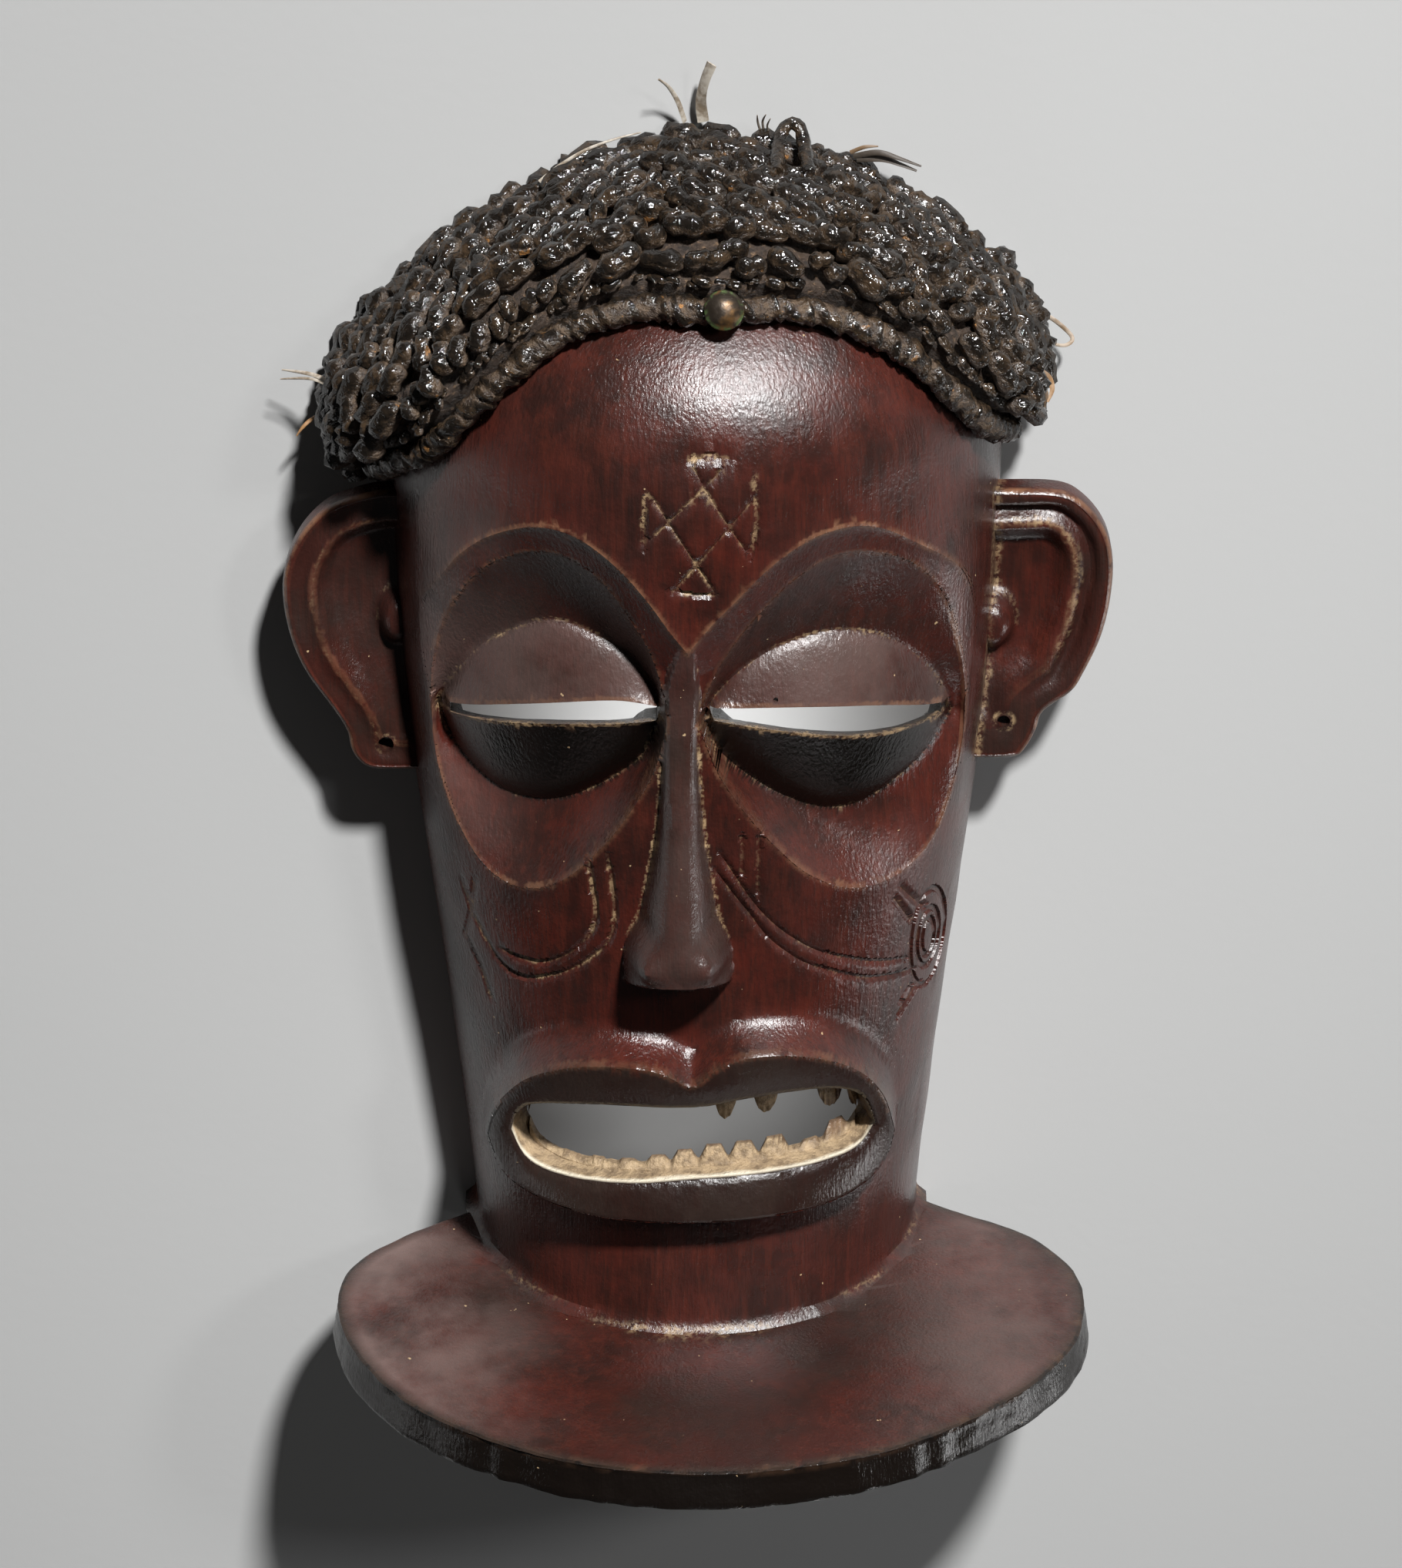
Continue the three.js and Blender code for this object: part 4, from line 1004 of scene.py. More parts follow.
def pin_hole(x, y, z, radius):
    """A small round hole drilled from the front."""
    bm = bmesh.new()
    bmesh.ops.create_cone(bm, cap_ends=True, segments=20, radius1=radius / 1000, radius2=radius / 1000,
                          depth=0.04)
    bmesh.ops.translate(bm, verts=bm.verts, vec=in_frame((x, y, z)))
    return new_object("hole", bm)


def beard_body():
    """The flat disc beard, with a hand-cut rim."""
    outline = beard_line
    normals = outward(outline)
    along = np.arange(len(outline))
    # Flats cut by the knife down the rim, each some 12 to 20 mm long.
    flats = np.abs(((along / 11 + 0.5 * np.sin(along * 0.13) + 0.3 * np.sin(along * 0.37)) % 1) - 0.5) * 2
    flats = flats * (0.55 + 0.45 * np.sin(along * 0.09))
    centre = np.array([2.0, 60.0])
    middle = (outline[:, 1] > 1)[:, None]

    def at(inset, under, inward=0.0, cut=0.0):
        grain = 0.25 * noise(np.column_stack([outline, along * 0 + under * 3]), 3, 61)
        moved = outline - normals * (inset + cut * flats + grain)[:, None] * middle
        xz = lerp(moved, centre, inward)
        top = -(xz[:, 1] - BEARD_FRONT) * BEARD_DROOP
        wave = 0.35 * noise(np.column_stack([xz, xz[:, 0] * 0]), 26, 62) * (1 - inward)
        return np.column_stack([xz[:, 0], top - under + wave, np.maximum(xz[:, 1], 0)])

    rings = [at(0.8, BEARD_THICKNESS, t) for t in (0.96, 0.7, 0.4, 0.15)]
    rings += [at(-0.9, BEARD_THICKNESS - 0.1, 0, 0.9)]
    rings += [at(0.2 - 1.6 * t, lerp(0.9, BEARD_THICKNESS, t), 0, 0.9) for t in 1 - np.linspace(0, 1, 9)[1:]]
    rings += [at(0.25, 0.35), at(0.9, 0.05)]
    rings += [at(0.9, 0, t) for t in (0.04, 0.1, 0.18, 0.28, 0.4, 0.55, 0.72, 0.9)]
    return new_object("beard", loft(bmesh.new(), [in_frame(r) for r in rings]))


class Marks:
    """Numbers from 0 to 1 for each point of the wood, such as how dusty it is or where a sheen or shade is
    painted, for its material to read.
    """

    def __init__(self, count):
        self.values = {name: np.zeros(count) for name in ("dust", "dark", "worn", "gloss", "painted_sheen")}

    def raise_to(self, name, amount):
        self.values[name] = np.maximum(self.values[name], amount)

    def put(self, name, where, amount):
        self.values[name] = np.where(where, amount, self.values[name])


def mark_eyes(marks, xy, z, base):
    """Dust in the creases, wear on the edges, the two shades of the lids, a painted sheen on the upper lids
    and painted shade on the upper walls of the sockets.
    """
    for eye in eyes:
        lid_gap, in_lid = nearest(eye.lid, xy, 12)[0], holds(eye.lid, xy)
        rim_gap, in_rim = nearest(eye.rim, xy, 12)[0], holds(eye.rim, xy)
        crest_gap, crest_at, _ = nearest(eye.crest, xy, 12)
        share = pick(eye.crest_share, crest_at)
        slit_line = bell(nearest(eye.slit, xy, 12)[0], 0.4) * (z > base - 9)
        slit_y = (eye.slit[:SLIT_POINTS, 1] + eye.slit[::-1][:SLIT_POINTS, 1]) / 2
        over_slit = xy[:, 1] - pick(slit_y, eye.along(xy[:, 0]) * (SLIT_POINTS - 1))
        upper, lower = in_lid & (over_slit > 0), in_lid & (over_slit <= 0)
        socket = in_rim & ~in_lid & (over_slit > 4)
        marks.raise_to("dust", 0.7 * bell(lid_gap, 0.5) * np.where(in_lid, 0.6, 1) * in_rim)
        marks.raise_to("dust", 0.4 * bell(crest_gap - 0.3, 0.45) * share)
        marks.raise_to("dust", slit_line * (over_slit < 0))
        marks.raise_to("worn", bell(crest_gap, 0.55) * share)
        marks.raise_to("worn", 0.5 * bell(rim_gap, 0.5))
        marks.raise_to("worn", 0.5 * slit_line)
        marks.put("dark", upper, 0.55)
        marks.put("dark", lower, 0.97)
        # Painted shade: the upper walls of the sockets, which face away from the light, are darkened, the
        # left one more.
        marks.put("dark", socket, 0.55 if eye is eyes[0] else 0.3)
        marks.put("gloss", lower, 1)
        # Painted sheen: a paler grey-brown on the upper lids.
        marks.put("painted_sheen", upper, 0.5)


def mark_nose(marks, xy, over_floor):
    """Dust beside the nose, and its dark back with a little painted sheen."""
    x, y = xy.T
    gap = np.minimum(*(nearest(nose_side(sign, 8), xy, 12)[0] for sign in (-1, 1)))
    low = bell(np.maximum(over_floor, 0), 1.6)
    marks.raise_to("dust", 0.85 * bell(gap, 0.8) * ((y > 118) & (y < 200)) * low)
    half = smooth(np.array(NOSE)[::-1, :2])(np.clip(y, NOSE_BASE, NOSE_ROOT))
    beside = np.abs(x - smooth(NOSE_MIDDLE)(y)) / half
    on_nose = (beside < 1.15) & (y > 108) & (y < 206) & (over_floor > 0.8)
    marks.put("dark", on_nose, 0.62)
    # A little painted sheen on the nose.
    marks.raise_to("painted_sheen", 0.2 * on_nose)


def mark_mouth(marks, xy, z, base):
    """Dark lips with worn edges. Returns how raw the wood is, round the mouth and in the hollow."""
    x, y = xy.T
    lip_gap, in_lips = nearest(lip_edge, xy, 12)[0], holds(lip_edge, xy)
    mouth_gap, in_mouth = nearest(mouth_edge, xy, 12)[0], holds(mouth_edge, xy)
    marks.put("dark", in_lips & (z > base + 4), 0.9)
    marks.raise_to("worn", 0.32 * bell(lip_gap, 0.3) * (y > 60))
    raw = ((in_mouth | (mouth_gap < 0.9)) & (z < base + 7.2) & (z > 40)).astype(float)
    raw = np.maximum(raw, (in_mouth | (mouth_gap < 2.2)) & (z < base - 2) & (z > 40))
    # The teeth are stained, the upper ones more.
    for edge, sign, tip in ((MOUTH_BOTTOM, 1, 0.36), (MOUTH_TOP, -1, 0.12)):
        over = sign * (y - np.interp(x, *gum_line(edge).T))
        tooth = (over > 0.4) & (raw > 0.5) & (z < base - 1) & (sign * (y - MOUTH_MIDDLE[1]) < 0)
        raw = np.where(tooth, lerp(0.75, tip, ease(over, 0.2, 3.2)), raw)
    # So are the ends of the mouth.
    left, right = mouth_edge[:, 0].min(), mouth_edge[:, 0].max()
    stale = np.maximum(ease(-x, -10 - left, -2 - left), ease(x, right - 6, right - 1))
    return raw * (1 - 0.75 * stale * ease(y, MOUTH_MIDDLE[1] - 7, MOUTH_MIDDLE[1] + 2))


def mark_beard(marks, xyz):
    """A mottled top with a painted pale sheen at both sides, a dark cut edge and dust under the chin; also a
    painted sheen on the left temple.
    """
    x, y, z = xyz.T
    over, reach = over_beard(xyz), face.reach(xyz)
    marks.raise_to("dust", 0.9 * bell(over, 2.2) * bell(np.abs(reach - 1.03), 0.05))
    on_beard = (over < -0.6) | ((over < 0.8) & (reach > 1.06))
    on_top = holds(beard_line * 0.985 + [0, 0.9], xyz[:, [0, 2]])
    marks.put("dark", on_beard, 0.35 + 0.6 * noise(xyz, 22, 73))
    marks.put("dark", over < -2.5, 0.4)
    marks.put("dark", on_beard & ~on_top, 1)
    edge_gap = nearest(beard_line, xyz[:, [0, 2]], 4)[0]
    marks.raise_to("worn", 0.6 * bell(edge_gap - 0.6, 0.5) * (over > -0.9) * (y < 8))
    # Painted sheen: paler grey patches toward both sides of the beard's top.
    outer = np.where(x < 3, 1, 0.6) * ease(np.abs(x - 3), 30, 84)
    marks.raise_to("painted_sheen", on_beard * on_top * outer * (1.0 + 0.5 * noise(xyz, 18, 75)) * (over > -1.2))
    # Painted sheen on the left temple.
    temple = ease(-x, 34, 66) * ease(y, 120, 165) * (1 - ease(y, 238, 262))
    marks.raise_to("painted_sheen", 0.55 * temple * (z > 42) * ~on_beard)


def mark_ear(marks, xyz, form):
    """Dust in the folds, round the hole and where the ear joins the head, a worn rim, a darker band, and
    painted shade on the left ear's floor.
    """
    x, y, z = xyz.T
    side, fold = form["side"], form["fold"]
    gap = nearest(curve(form["outline"], 131), xyz[:, :2], 14)[0]
    on_ear = (side * x > face.section(y)[0] - 1) & (z > 14) & (z < 34) & (y < 229)
    fade = ease(y, *form["fade"]) * on_ear
    marks.raise_to("worn", 0.6 * bell(gap - fold, 0.7) * fade)
    marks.raise_to("worn", bell(gap, 0.6) * on_ear * (z > EAR_RIM - 1.8))
    amount, spread = form["dust"]
    marks.raise_to("dust", amount * bell(gap - fold + 0.6, spread) * fade)
    tx, ty, rx, ry = form["knob"]
    bump = np.hypot((x - tx) / rx, (y - ty) / ry)
    marks.raise_to("dust", 0.6 * bell(bump - 1.05, 0.16) * (y > ty - 2) * on_ear)
    marks.put("dark", on_ear & (gap > 1) & (gap < fold - 1), 0.5)
    # Painted shade: the left ear's floor inside the fold is darkened.
    marks.put("dark", on_ear & (side < 0) & (gap > fold + 1), 0.45)
    near_head = (side * x > 60) & (z > 15) & (z < 28) & (y < 228) & (y > 150)
    marks.raise_to("dust", form["seam_dust"] * bell(face.reach(xyz) - 1.02, 0.045) * near_head)
    hole = np.hypot(x - form["hole"][0], y - form["hole"][1])
    marks.raise_to("dust", 0.7 * bell(hole - 2.6, 0.9) * on_ear)


def mark_wood(mesh):
    """Stores where the wood is dusty, dark (partly painted shade), worn, raw, glossy or matt, and where a
    sheen is painted.
    """
    xyz = points_of(mesh)
    xy, z = xyz[:, :2], xyz[:, 2]
    base = face.height(*xy.T)
    (left, in_left), (right, in_right) = (eye.depth(xy, 0) for eye in eyes)
    floor = base - np.where(in_left, left, np.where(in_right, right, 0))
    marks = Marks(len(xyz))
    mark_eyes(marks, xy, z, base)
    mark_nose(marks, xy, z - floor)
    raw = mark_mouth(marks, xy, z, base)
    in_hollow = (hollow.reach(xyz) < 1.06) & (xyz[:, 1] > 7.5)
    raw = np.where(in_hollow & (raw < 0.3), 0.35, raw)
    marks.raise_to("dust", 0.75 * cut_profile(forehead_lines, xy, FOREHEAD_GROOVE) * (z > 12))
    marks.raise_to("dust", 0.5 * cheek_cut(xy) * (z > 12))
    left_cheek = 0.8 * ease(-xy[:, 0], 10, 24)
    marks.raise_to("dust", left_cheek * cut_profile(cheek_lines, xy, 0.45) * (z > 25))
    mark_beard(marks, xyz)
    for x, y, size in CHIPS:
        chip = np.hypot(xy[:, 0] - x, (xy[:, 1] - y) * 0.8) + 0.6 * noise(xyz, 1.3, 74)
        marks.raise_to("dust", 1.6 * (1 - ease(chip, 0.5 * size, size)) * (z > 60))
    for form in EARS:
        mark_ear(marks, xyz, form)
    patch, speck = (0.5 + 0.5 * noise(xyz, size, seed) for size, seed in ((5, 71), (1.6, 72)))
    marks.values["dust"] *= lerp(0.35, 1, patch) * lerp(0.5, 1, speck)
    marks.values["worn"] *= lerp(0.3, 1, patch)
    for name, values in marks.values.items():
        store(mesh, name, values)
    store(mesh, "raw", raw)
    # The mouth's wall is chalky beside the lips and browner behind.
    store(mesh, "deep", np.clip((base + 6.8 - z) / 4, 0, 1))
    low_left = ease(-xyz[:, 0], 52, 66) * (1 - ease(xy[:, 1], 150, 190))
    store(mesh, "matt", low_left * (over_beard(xyz) > 1))


class Graph:
    """A material's nodes, added one by one."""

    def __init__(self, name):
        self.material = bpy.data.materials.new(name)
        self.material.use_nodes = True
        self.tree = self.material.node_tree
        self.shader = self.tree.nodes["Principled BSDF"]
        self.place = self.add("TexCoord").outputs["Object"]

    def add(self, kind, inputs=None, **settings):
        node = self.tree.nodes.new("ShaderNode" + kind)
        for key, value in settings.items():
            setattr(node, key, value)
        for key, value in (inputs or {}).items():
            self.feed(node.inputs[key], value)
        return node

    def feed(self, socket, value):
        if isinstance(value, bpy.types.NodeSocket):
            self.tree.links.new(value, socket)
        else:
            socket.default_value = value

    def set(self, **values):
        for key, value in values.items():
            self.feed(self.shader.inputs[key.replace("_", " ")], value)

    def stretched(self, scale):
        return self.add("Mapping", {"Vector": self.place, "Scale": scale}).outputs[0]

    def noise(self, scale, detail=3.0, rough=0.55, where=None, distortion=0.0):
        return self.add("TexNoise", {"Vector": where or self.place, "Scale": scale, "Detail": detail,
                                     "Roughness": rough, "Distortion": distortion}).outputs["Fac"]

    def ramp(self, value, low, high, at_low=0.0, at_high=1.0):
        return self.add("MapRange", {"Value": value, "From Min": low, "From Max": high, "To Min": at_low,
                                     "To Max": at_high}, interpolation_type="SMOOTHSTEP").outputs[0]

    def math(self, operation, a, b):
        return self.add("Math", {0: a, 1: b}, operation=operation).outputs[0]

    def times(self, a, b):
        return self.math("MULTIPLY", a, b)

    def plus(self, a, b):
        return self.math("ADD", a, b)

    def mix(self, share, a, b):
        node = self.add("Mix", data_type="RGBA")
        for key, value in (("Factor_Float", share), ("A_Color", a), ("B_Color", b)):
            self.feed(next(s for s in node.inputs if s.identifier == key), value)
        return next(s for s in node.outputs if s.identifier == "Result_Color")

    def attribute(self, name):
        return self.add("Attribute", attribute_name=name).outputs["Fac"]

    def bump(self, height, distance, strength=1.0, under=None):
        inputs = {"Height": height, "Distance": distance, "Strength": strength}
        if under is not None:
            inputs["Normal"] = under
        return self.add("Bump", inputs).outputs[0]


def wood_material(settings):
    """Stained and polished wood, worn, dusty or raw where the carving is marked so, with painted shade and a
    painted sheen where marked.
    """
    g = Graph("stained_wood")
    wood, patina = settings.wood_colour, settings.patina_colour
    cloud = g.ramp(g.noise(16, 3, 0.55), 0.34, 0.66)
    blotch = g.ramp(g.noise(45, 5, 0.66), 0.36, 0.66)
    streak = g.ramp(g.noise(60, 3, 0.6, g.stretched((6, 0.7, 6))), 0.42, 0.7)
    grain = g.noise(150, 4, 0.62, g.stretched((9, 0.55, 9)))
    pores = g.noise(1500, 2, 0.5)
    colour = g.mix(g.times(cloud, 0.35), wood, (0.03, 0.0135, 0.011, 1))
    colour = g.mix(g.times(blotch, 0.74), colour, patina)
    colour = g.mix(g.times(streak, 0.26), colour, (0.085, 0.018, 0.01, 1))
    colour = g.mix(g.ramp(grain, 0.45, 0.7, 0, 0.5), colour, (0.016, 0.0075, 0.006, 1))
    # The dark mark is partly the wood's own darker tone (lips, lids, nose, beard edge, ear bands) and partly
    # painted shade (upper sockets, left ear).
    dark = g.attribute("dark")
    dull = g.mix(blotch, (0.0085, 0.0058, 0.0047, 1), (0.02, 0.0135, 0.0108, 1))
    colour = g.mix(g.times(dark, 0.94), colour, dull)
    colour = g.mix(g.ramp(dark, 0.93, 1), colour, (0.0042, 0.0027, 0.002, 1))
    colour = g.mix(g.times(g.attribute("gloss"), 0.8), colour, (0.0016, 0.0013, 0.001, 1))
    # Painted sheen: a pale grey-brown mixed in where the sheen mark is set.
    painted_sheen = g.times(g.attribute("painted_sheen"), g.ramp(g.noise(24, 5, 0.6), 0.3, 0.6))
    colour = g.mix(g.times(painted_sheen, 0.72), colour, (0.13, 0.086, 0.076, 1))
    worn = g.times(g.attribute("worn"), g.ramp(g.noise(300, 3), 0.3, 0.55))
    colour = g.mix(g.times(worn, 0.7), colour, (0.2, 0.1, 0.055, 1))
    raw, deep = g.attribute("raw"), g.attribute("deep")
    tan = g.mix(g.ramp(g.noise(320, 4, 0.65), 0.35, 0.7), (0.3, 0.215, 0.125, 1), (0.13, 0.088, 0.05, 1))
    pale = g.mix(g.ramp(g.plus(deep, g.times(g.noise(160, 3), 0.5)), 0.25, 0.75),
                 settings.raw_colour, tan)
    colour = g.mix(raw, colour, pale)
    dust = g.times(g.attribute("dust"), g.ramp(g.noise(700, 3, 0.7), 0.3, 0.6))
    colour = g.mix(g.ramp(dust, 0.12, 0.75), colour, settings.dust_colour)
    fleck = g.ramp(g.noise(420, 2, 0.5), 0.765, 0.785)
    colour = g.mix(g.times(fleck, 0.7), colour, (0.42, 0.3, 0.17, 1))
    rough = g.ramp(g.noise(34, 5, 0.62), 0.3, 0.7, 0.2, 0.34)
    rough = g.plus(rough, g.times(painted_sheen, 0.16))
    rough = g.plus(rough, g.times(dust, 0.4))
    rough = g.plus(rough, g.times(raw, 0.4))
    rough = g.math("SUBTRACT", rough, g.times(g.attribute("gloss"), 0.12))
    pebble = g.noise(900, 2, 0.5, g.stretched((1, 0.7, 1)))
    normal = g.bump(grain, 0.00035, 0.5)
    normal = g.bump(pebble, 0.00028, 0.5, normal)
    normal = g.bump(pores, 0.00012, 0.4, normal)
    normal = g.bump(g.times(raw, g.noise(500, 4, 0.7)), 0.0012, 0.7, normal)
    shine = g.math("SUBTRACT", 0.5, g.times(g.attribute("matt"), 0.4))
    g.set(Base_Color=colour, Roughness=rough, Specular_IOR_Level=shine, Normal=normal)
    return g.material


def knot_material(settings, name="waxed_knots"):
    """Waxed plant fibre, with paler fluff in its hollows."""
    g = Graph(name)
    mottle = g.ramp(g.noise(210, 5, 0.68), 0.43, 0.68)
    brown = g.mix(g.attribute("tone"), (0.017, 0.0115, 0.0075, 1), (0.046, 0.029, 0.0165, 1))
    colour = g.mix(mottle, (0.007, 0.0054, 0.0042, 1), brown)
    crumbs = g.noise(420, 4, 0.65)
    low = g.ramp(g.plus(g.attribute("sunk"), g.times(crumbs, 0.5)), 0.48, 0.92)
    dusty = g.mix(g.ramp(crumbs, 0.4, 0.62), settings.fibre_colour, (0.1, 0.064, 0.037, 1))
    colour = g.mix(g.times(low, 0.85), colour, dusty)
    fleck = g.times(g.ramp(g.noise(300, 2, 0.5), 0.66, 0.7), low)
    colour = g.mix(g.times(fleck, 0.8), colour, (0.42, 0.19, 0.05, 1))
    twist = g.noise(360, 2.5, 0.5, distortion=1.5)
    rough = g.ramp(g.noise(240, 3), 0.35, 0.7, 0.08, 0.18)
    rough = g.plus(rough, g.times(low, 0.5))
    normal = g.bump(g.times(low, g.noise(900, 4, 0.7)), 0.0014, 0.85)
    g.set(Base_Color=colour, Roughness=rough, Normal=g.bump(twist, 0.001, 0.75, normal))
    return g.material


def fibre_material(settings):
    """The dark mat of loose fibre."""
    g = Graph("loose_fibre")
    colour = g.mix(g.ramp(g.noise(260, 5, 0.65), 0.3, 0.6), (0.014, 0.0095, 0.007, 1), settings.fibre_colour)
    colour = g.mix(g.ramp(g.noise(520, 3, 0.6), 0.58, 0.72, 0, 0.8), colour, (0.2, 0.125, 0.07, 1))
    colour = g.mix(g.ramp(g.noise(210, 2, 0.5), 0.71, 0.75, 0, 0.8), colour, (0.45, 0.2, 0.05, 1))
    normal = g.bump(g.noise(850, 5, 0.72, distortion=0.8), 0.0016, 0.9)
    g.set(Base_Color=colour, Normal=normal, Roughness=g.ramp(g.noise(400, 3), 0.3, 0.7, 0.5, 0.85))
    return g.material


def tack_material():
    """Brass gone brown, greenish at the rim."""
    g = Graph("tarnished_brass")
    patch = g.ramp(g.noise(150, 3, 0.5), 0.46, 0.62)
    colour = g.mix(patch, (0.04, 0.03, 0.022, 1), (0.17, 0.088, 0.03, 1))
    edge = g.attribute("edge")
    colour = g.mix(g.times(edge, g.ramp(g.noise(500, 3), 0.42, 0.6)), colour, (0.09, 0.14, 0.05, 1))
    g.set(Base_Color=colour, Metallic=0.7, Roughness=g.ramp(g.noise(600, 3), 0.3, 0.7, 0.36, 0.52))
    g.set(Normal=g.bump(g.noise(900, 3, 0.6), 0.0002, 0.5))
    return g.material


def straw_material():
    """Dry straw, tinted or burnt at places."""
    g = Graph("dry_straw")
    streak = g.noise(300, 3, 0.6)
    tint = g.attribute("tint")
    colour = g.mix(g.ramp(streak, 0.35, 0.65), (0.17, 0.135, 0.095, 1), (0.42, 0.385, 0.33, 1))
    colour = g.mix(tint, colour, (0.22, 0.105, 0.03, 1))
    colour = g.mix(g.attribute("burnt"), colour, (0.03, 0.022, 0.016, 1))
    g.set(Base_Color=colour, Roughness=0.6, Normal=g.bump(streak, 0.0004, 0.6))
    return g.material


def on_head(points, lift=0.0):
    """Points drawn along a ray from the middle of the crown onto the head, and lifted off it."""
    middle = np.array(WIG_MIDDLE)
    ray = points - middle
    low, high = np.full(len(ray), 0.2), np.full(len(ray), 4.0)
    for _ in range(30):
        half = (low + high) / 2
        at = middle + ray * half[:, None]
        outside = (face.reach(at) > 1) | (at[:, 1] > CROWN_START + face.rise)
        high, low = np.where(outside, half, high), np.where(outside, low, half)
    at = middle + ray * low[:, None]
    return at + lift * unit(ray)


def over_face(xy, lift):
    """A point over the smooth face and the direction square to it there."""
    xyz = np.column_stack([xy, np.maximum(face.height(*xy.T), 4.2)])
    normal = unit(np.column_stack([face.reach(xyz + d) - face.reach(xyz - d) for d in np.eye(3) / 2]))
    return xyz + lift * normal, normal


def wig_sections(count):
    """For each place across the wig: its front edge beside the roll, and its outline on the floor."""
    at, normal = over_face(curve(WIG_ARCH, count), 0)
    back = unit(np.cross(normal, np.gradient(at, axis=0)))
    return (at + back * (ROLL_RADIUS + GAP))[:, :2], curve(WIG_RIM, count)


WIG_START, WIG_FLOOR = wig_sections(200)
WIG_EDGE = over_face(WIG_START, WIG_FRONT)[0]


def wig_surface(across, back, lift=0.0):
    """A point on the wig's outer form, from the forehead (0) back to the floor (1), and its outward way."""
    place = np.clip(across, 0, 1) * (len(WIG_EDGE) - 1)
    turn = back * math.pi / 2
    a, b = (np.column_stack([pick(column, place) for column in line.T]) for line in (WIG_EDGE, WIG_FLOOR))
    xy = lerp(a[:, :2], b, np.sin(turn)[:, None])
    xyz = np.column_stack([xy, a[:, 2] * np.cos(turn)])
    out = unit(xyz - WIG_MIDDLE)
    return xyz + out * lift, out


def wig_mat():
    """The mat of loose fibre under the knots."""
    across = 260
    backs = np.concatenate([np.linspace(0, 0.13, 12), np.linspace(0.16, 1, 24)])
    share = np.linspace(0, 1, across)
    start, rim = wig_sections(across)
    outer = [wig_surface(share, np.full(across, s), lerp(-1.9, -3.9, min(1, 9 * s)))[0] for s in backs]
    front_low = on_head(over_face(start, 1.0)[0], -0.4)
    inner = []
    for t in (1, 0.75, 0.5, 0.25, 0):
        xy = lerp(front_low[:, :2], rim, t)
        z = front_low[:, 2] * math.cos(t * math.pi / 2)
        inner.append(on_head(np.column_stack([xy, np.maximum(z, 0.01)]), -0.5))
    lip = lerp(outer[0], front_low, 0.5) + (outer[0] - outer[3]) * 0.12
    rows = np.array([*outer, *inner, front_low, lip])
    rough = 0.8 * noise(rows.reshape(-1, 3), 3.4, 81) + 0.9 * noise(rows.reshape(-1, 3), 1.7, 82)
    rough = rough.reshape(rows.shape[:2])
    # The side on the head stays even.
    rough[len(outer):-1] = 0
    rows += unit(rows - WIG_MIDDLE) * rough[..., None]
    rows[..., 2] = np.maximum(rows[..., 2], 0)
    return new_object("wig_fibre_mat", loft(bmesh.new(), in_frame(rows).swapaxes(0, 1)))


def knot_shapes(chance, ball, half, lobes):
    """Points of one knot, lying along X: a grooved bean, or two short ones slantwise against each other."""
    u, around = ball[:, 2], np.arctan2(ball[:, 1], ball[:, 0])
    blunt = np.minimum((1 - np.abs(u) ** 3) ** 0.3 / np.maximum(1 - u * u, 0.02) ** 0.5, 1.13)
    lean = chance.uniform(0.5, 0.9)
    for lobe in range(lobes):
        odd = chance.uniform(-0.11, 0.11, len(ball))
        groove = chance.uniform(-0.4, 0.4) + chance.uniform(-0.3, 0.3) * np.cos(around)
        shape = (1 - chance.uniform(0.16, 0.42) * np.exp(-((u - groove) / 0.27) ** 2) + odd) * blunt
        bend = chance.uniform(-0.34, 0.34) * (1 - u * u)
        local = np.column_stack([u * (1 + 0.3 * odd), ball[:, 0] * shape + bend, ball[:, 1] * shape]) * half
        if lobes == 2:
            x, y = (local[:, :2] * [0.66, 0.84]).T
            local[:, 0] = x * math.cos(lean) - y * math.sin(lean) + (lobe - 0.5) * 0.96 * half[0]
            local[:, 1] = x * math.sin(lean) + y * math.cos(lean)
            local[:, 2] += chance.uniform(-0.5, 0.5)
        yield local


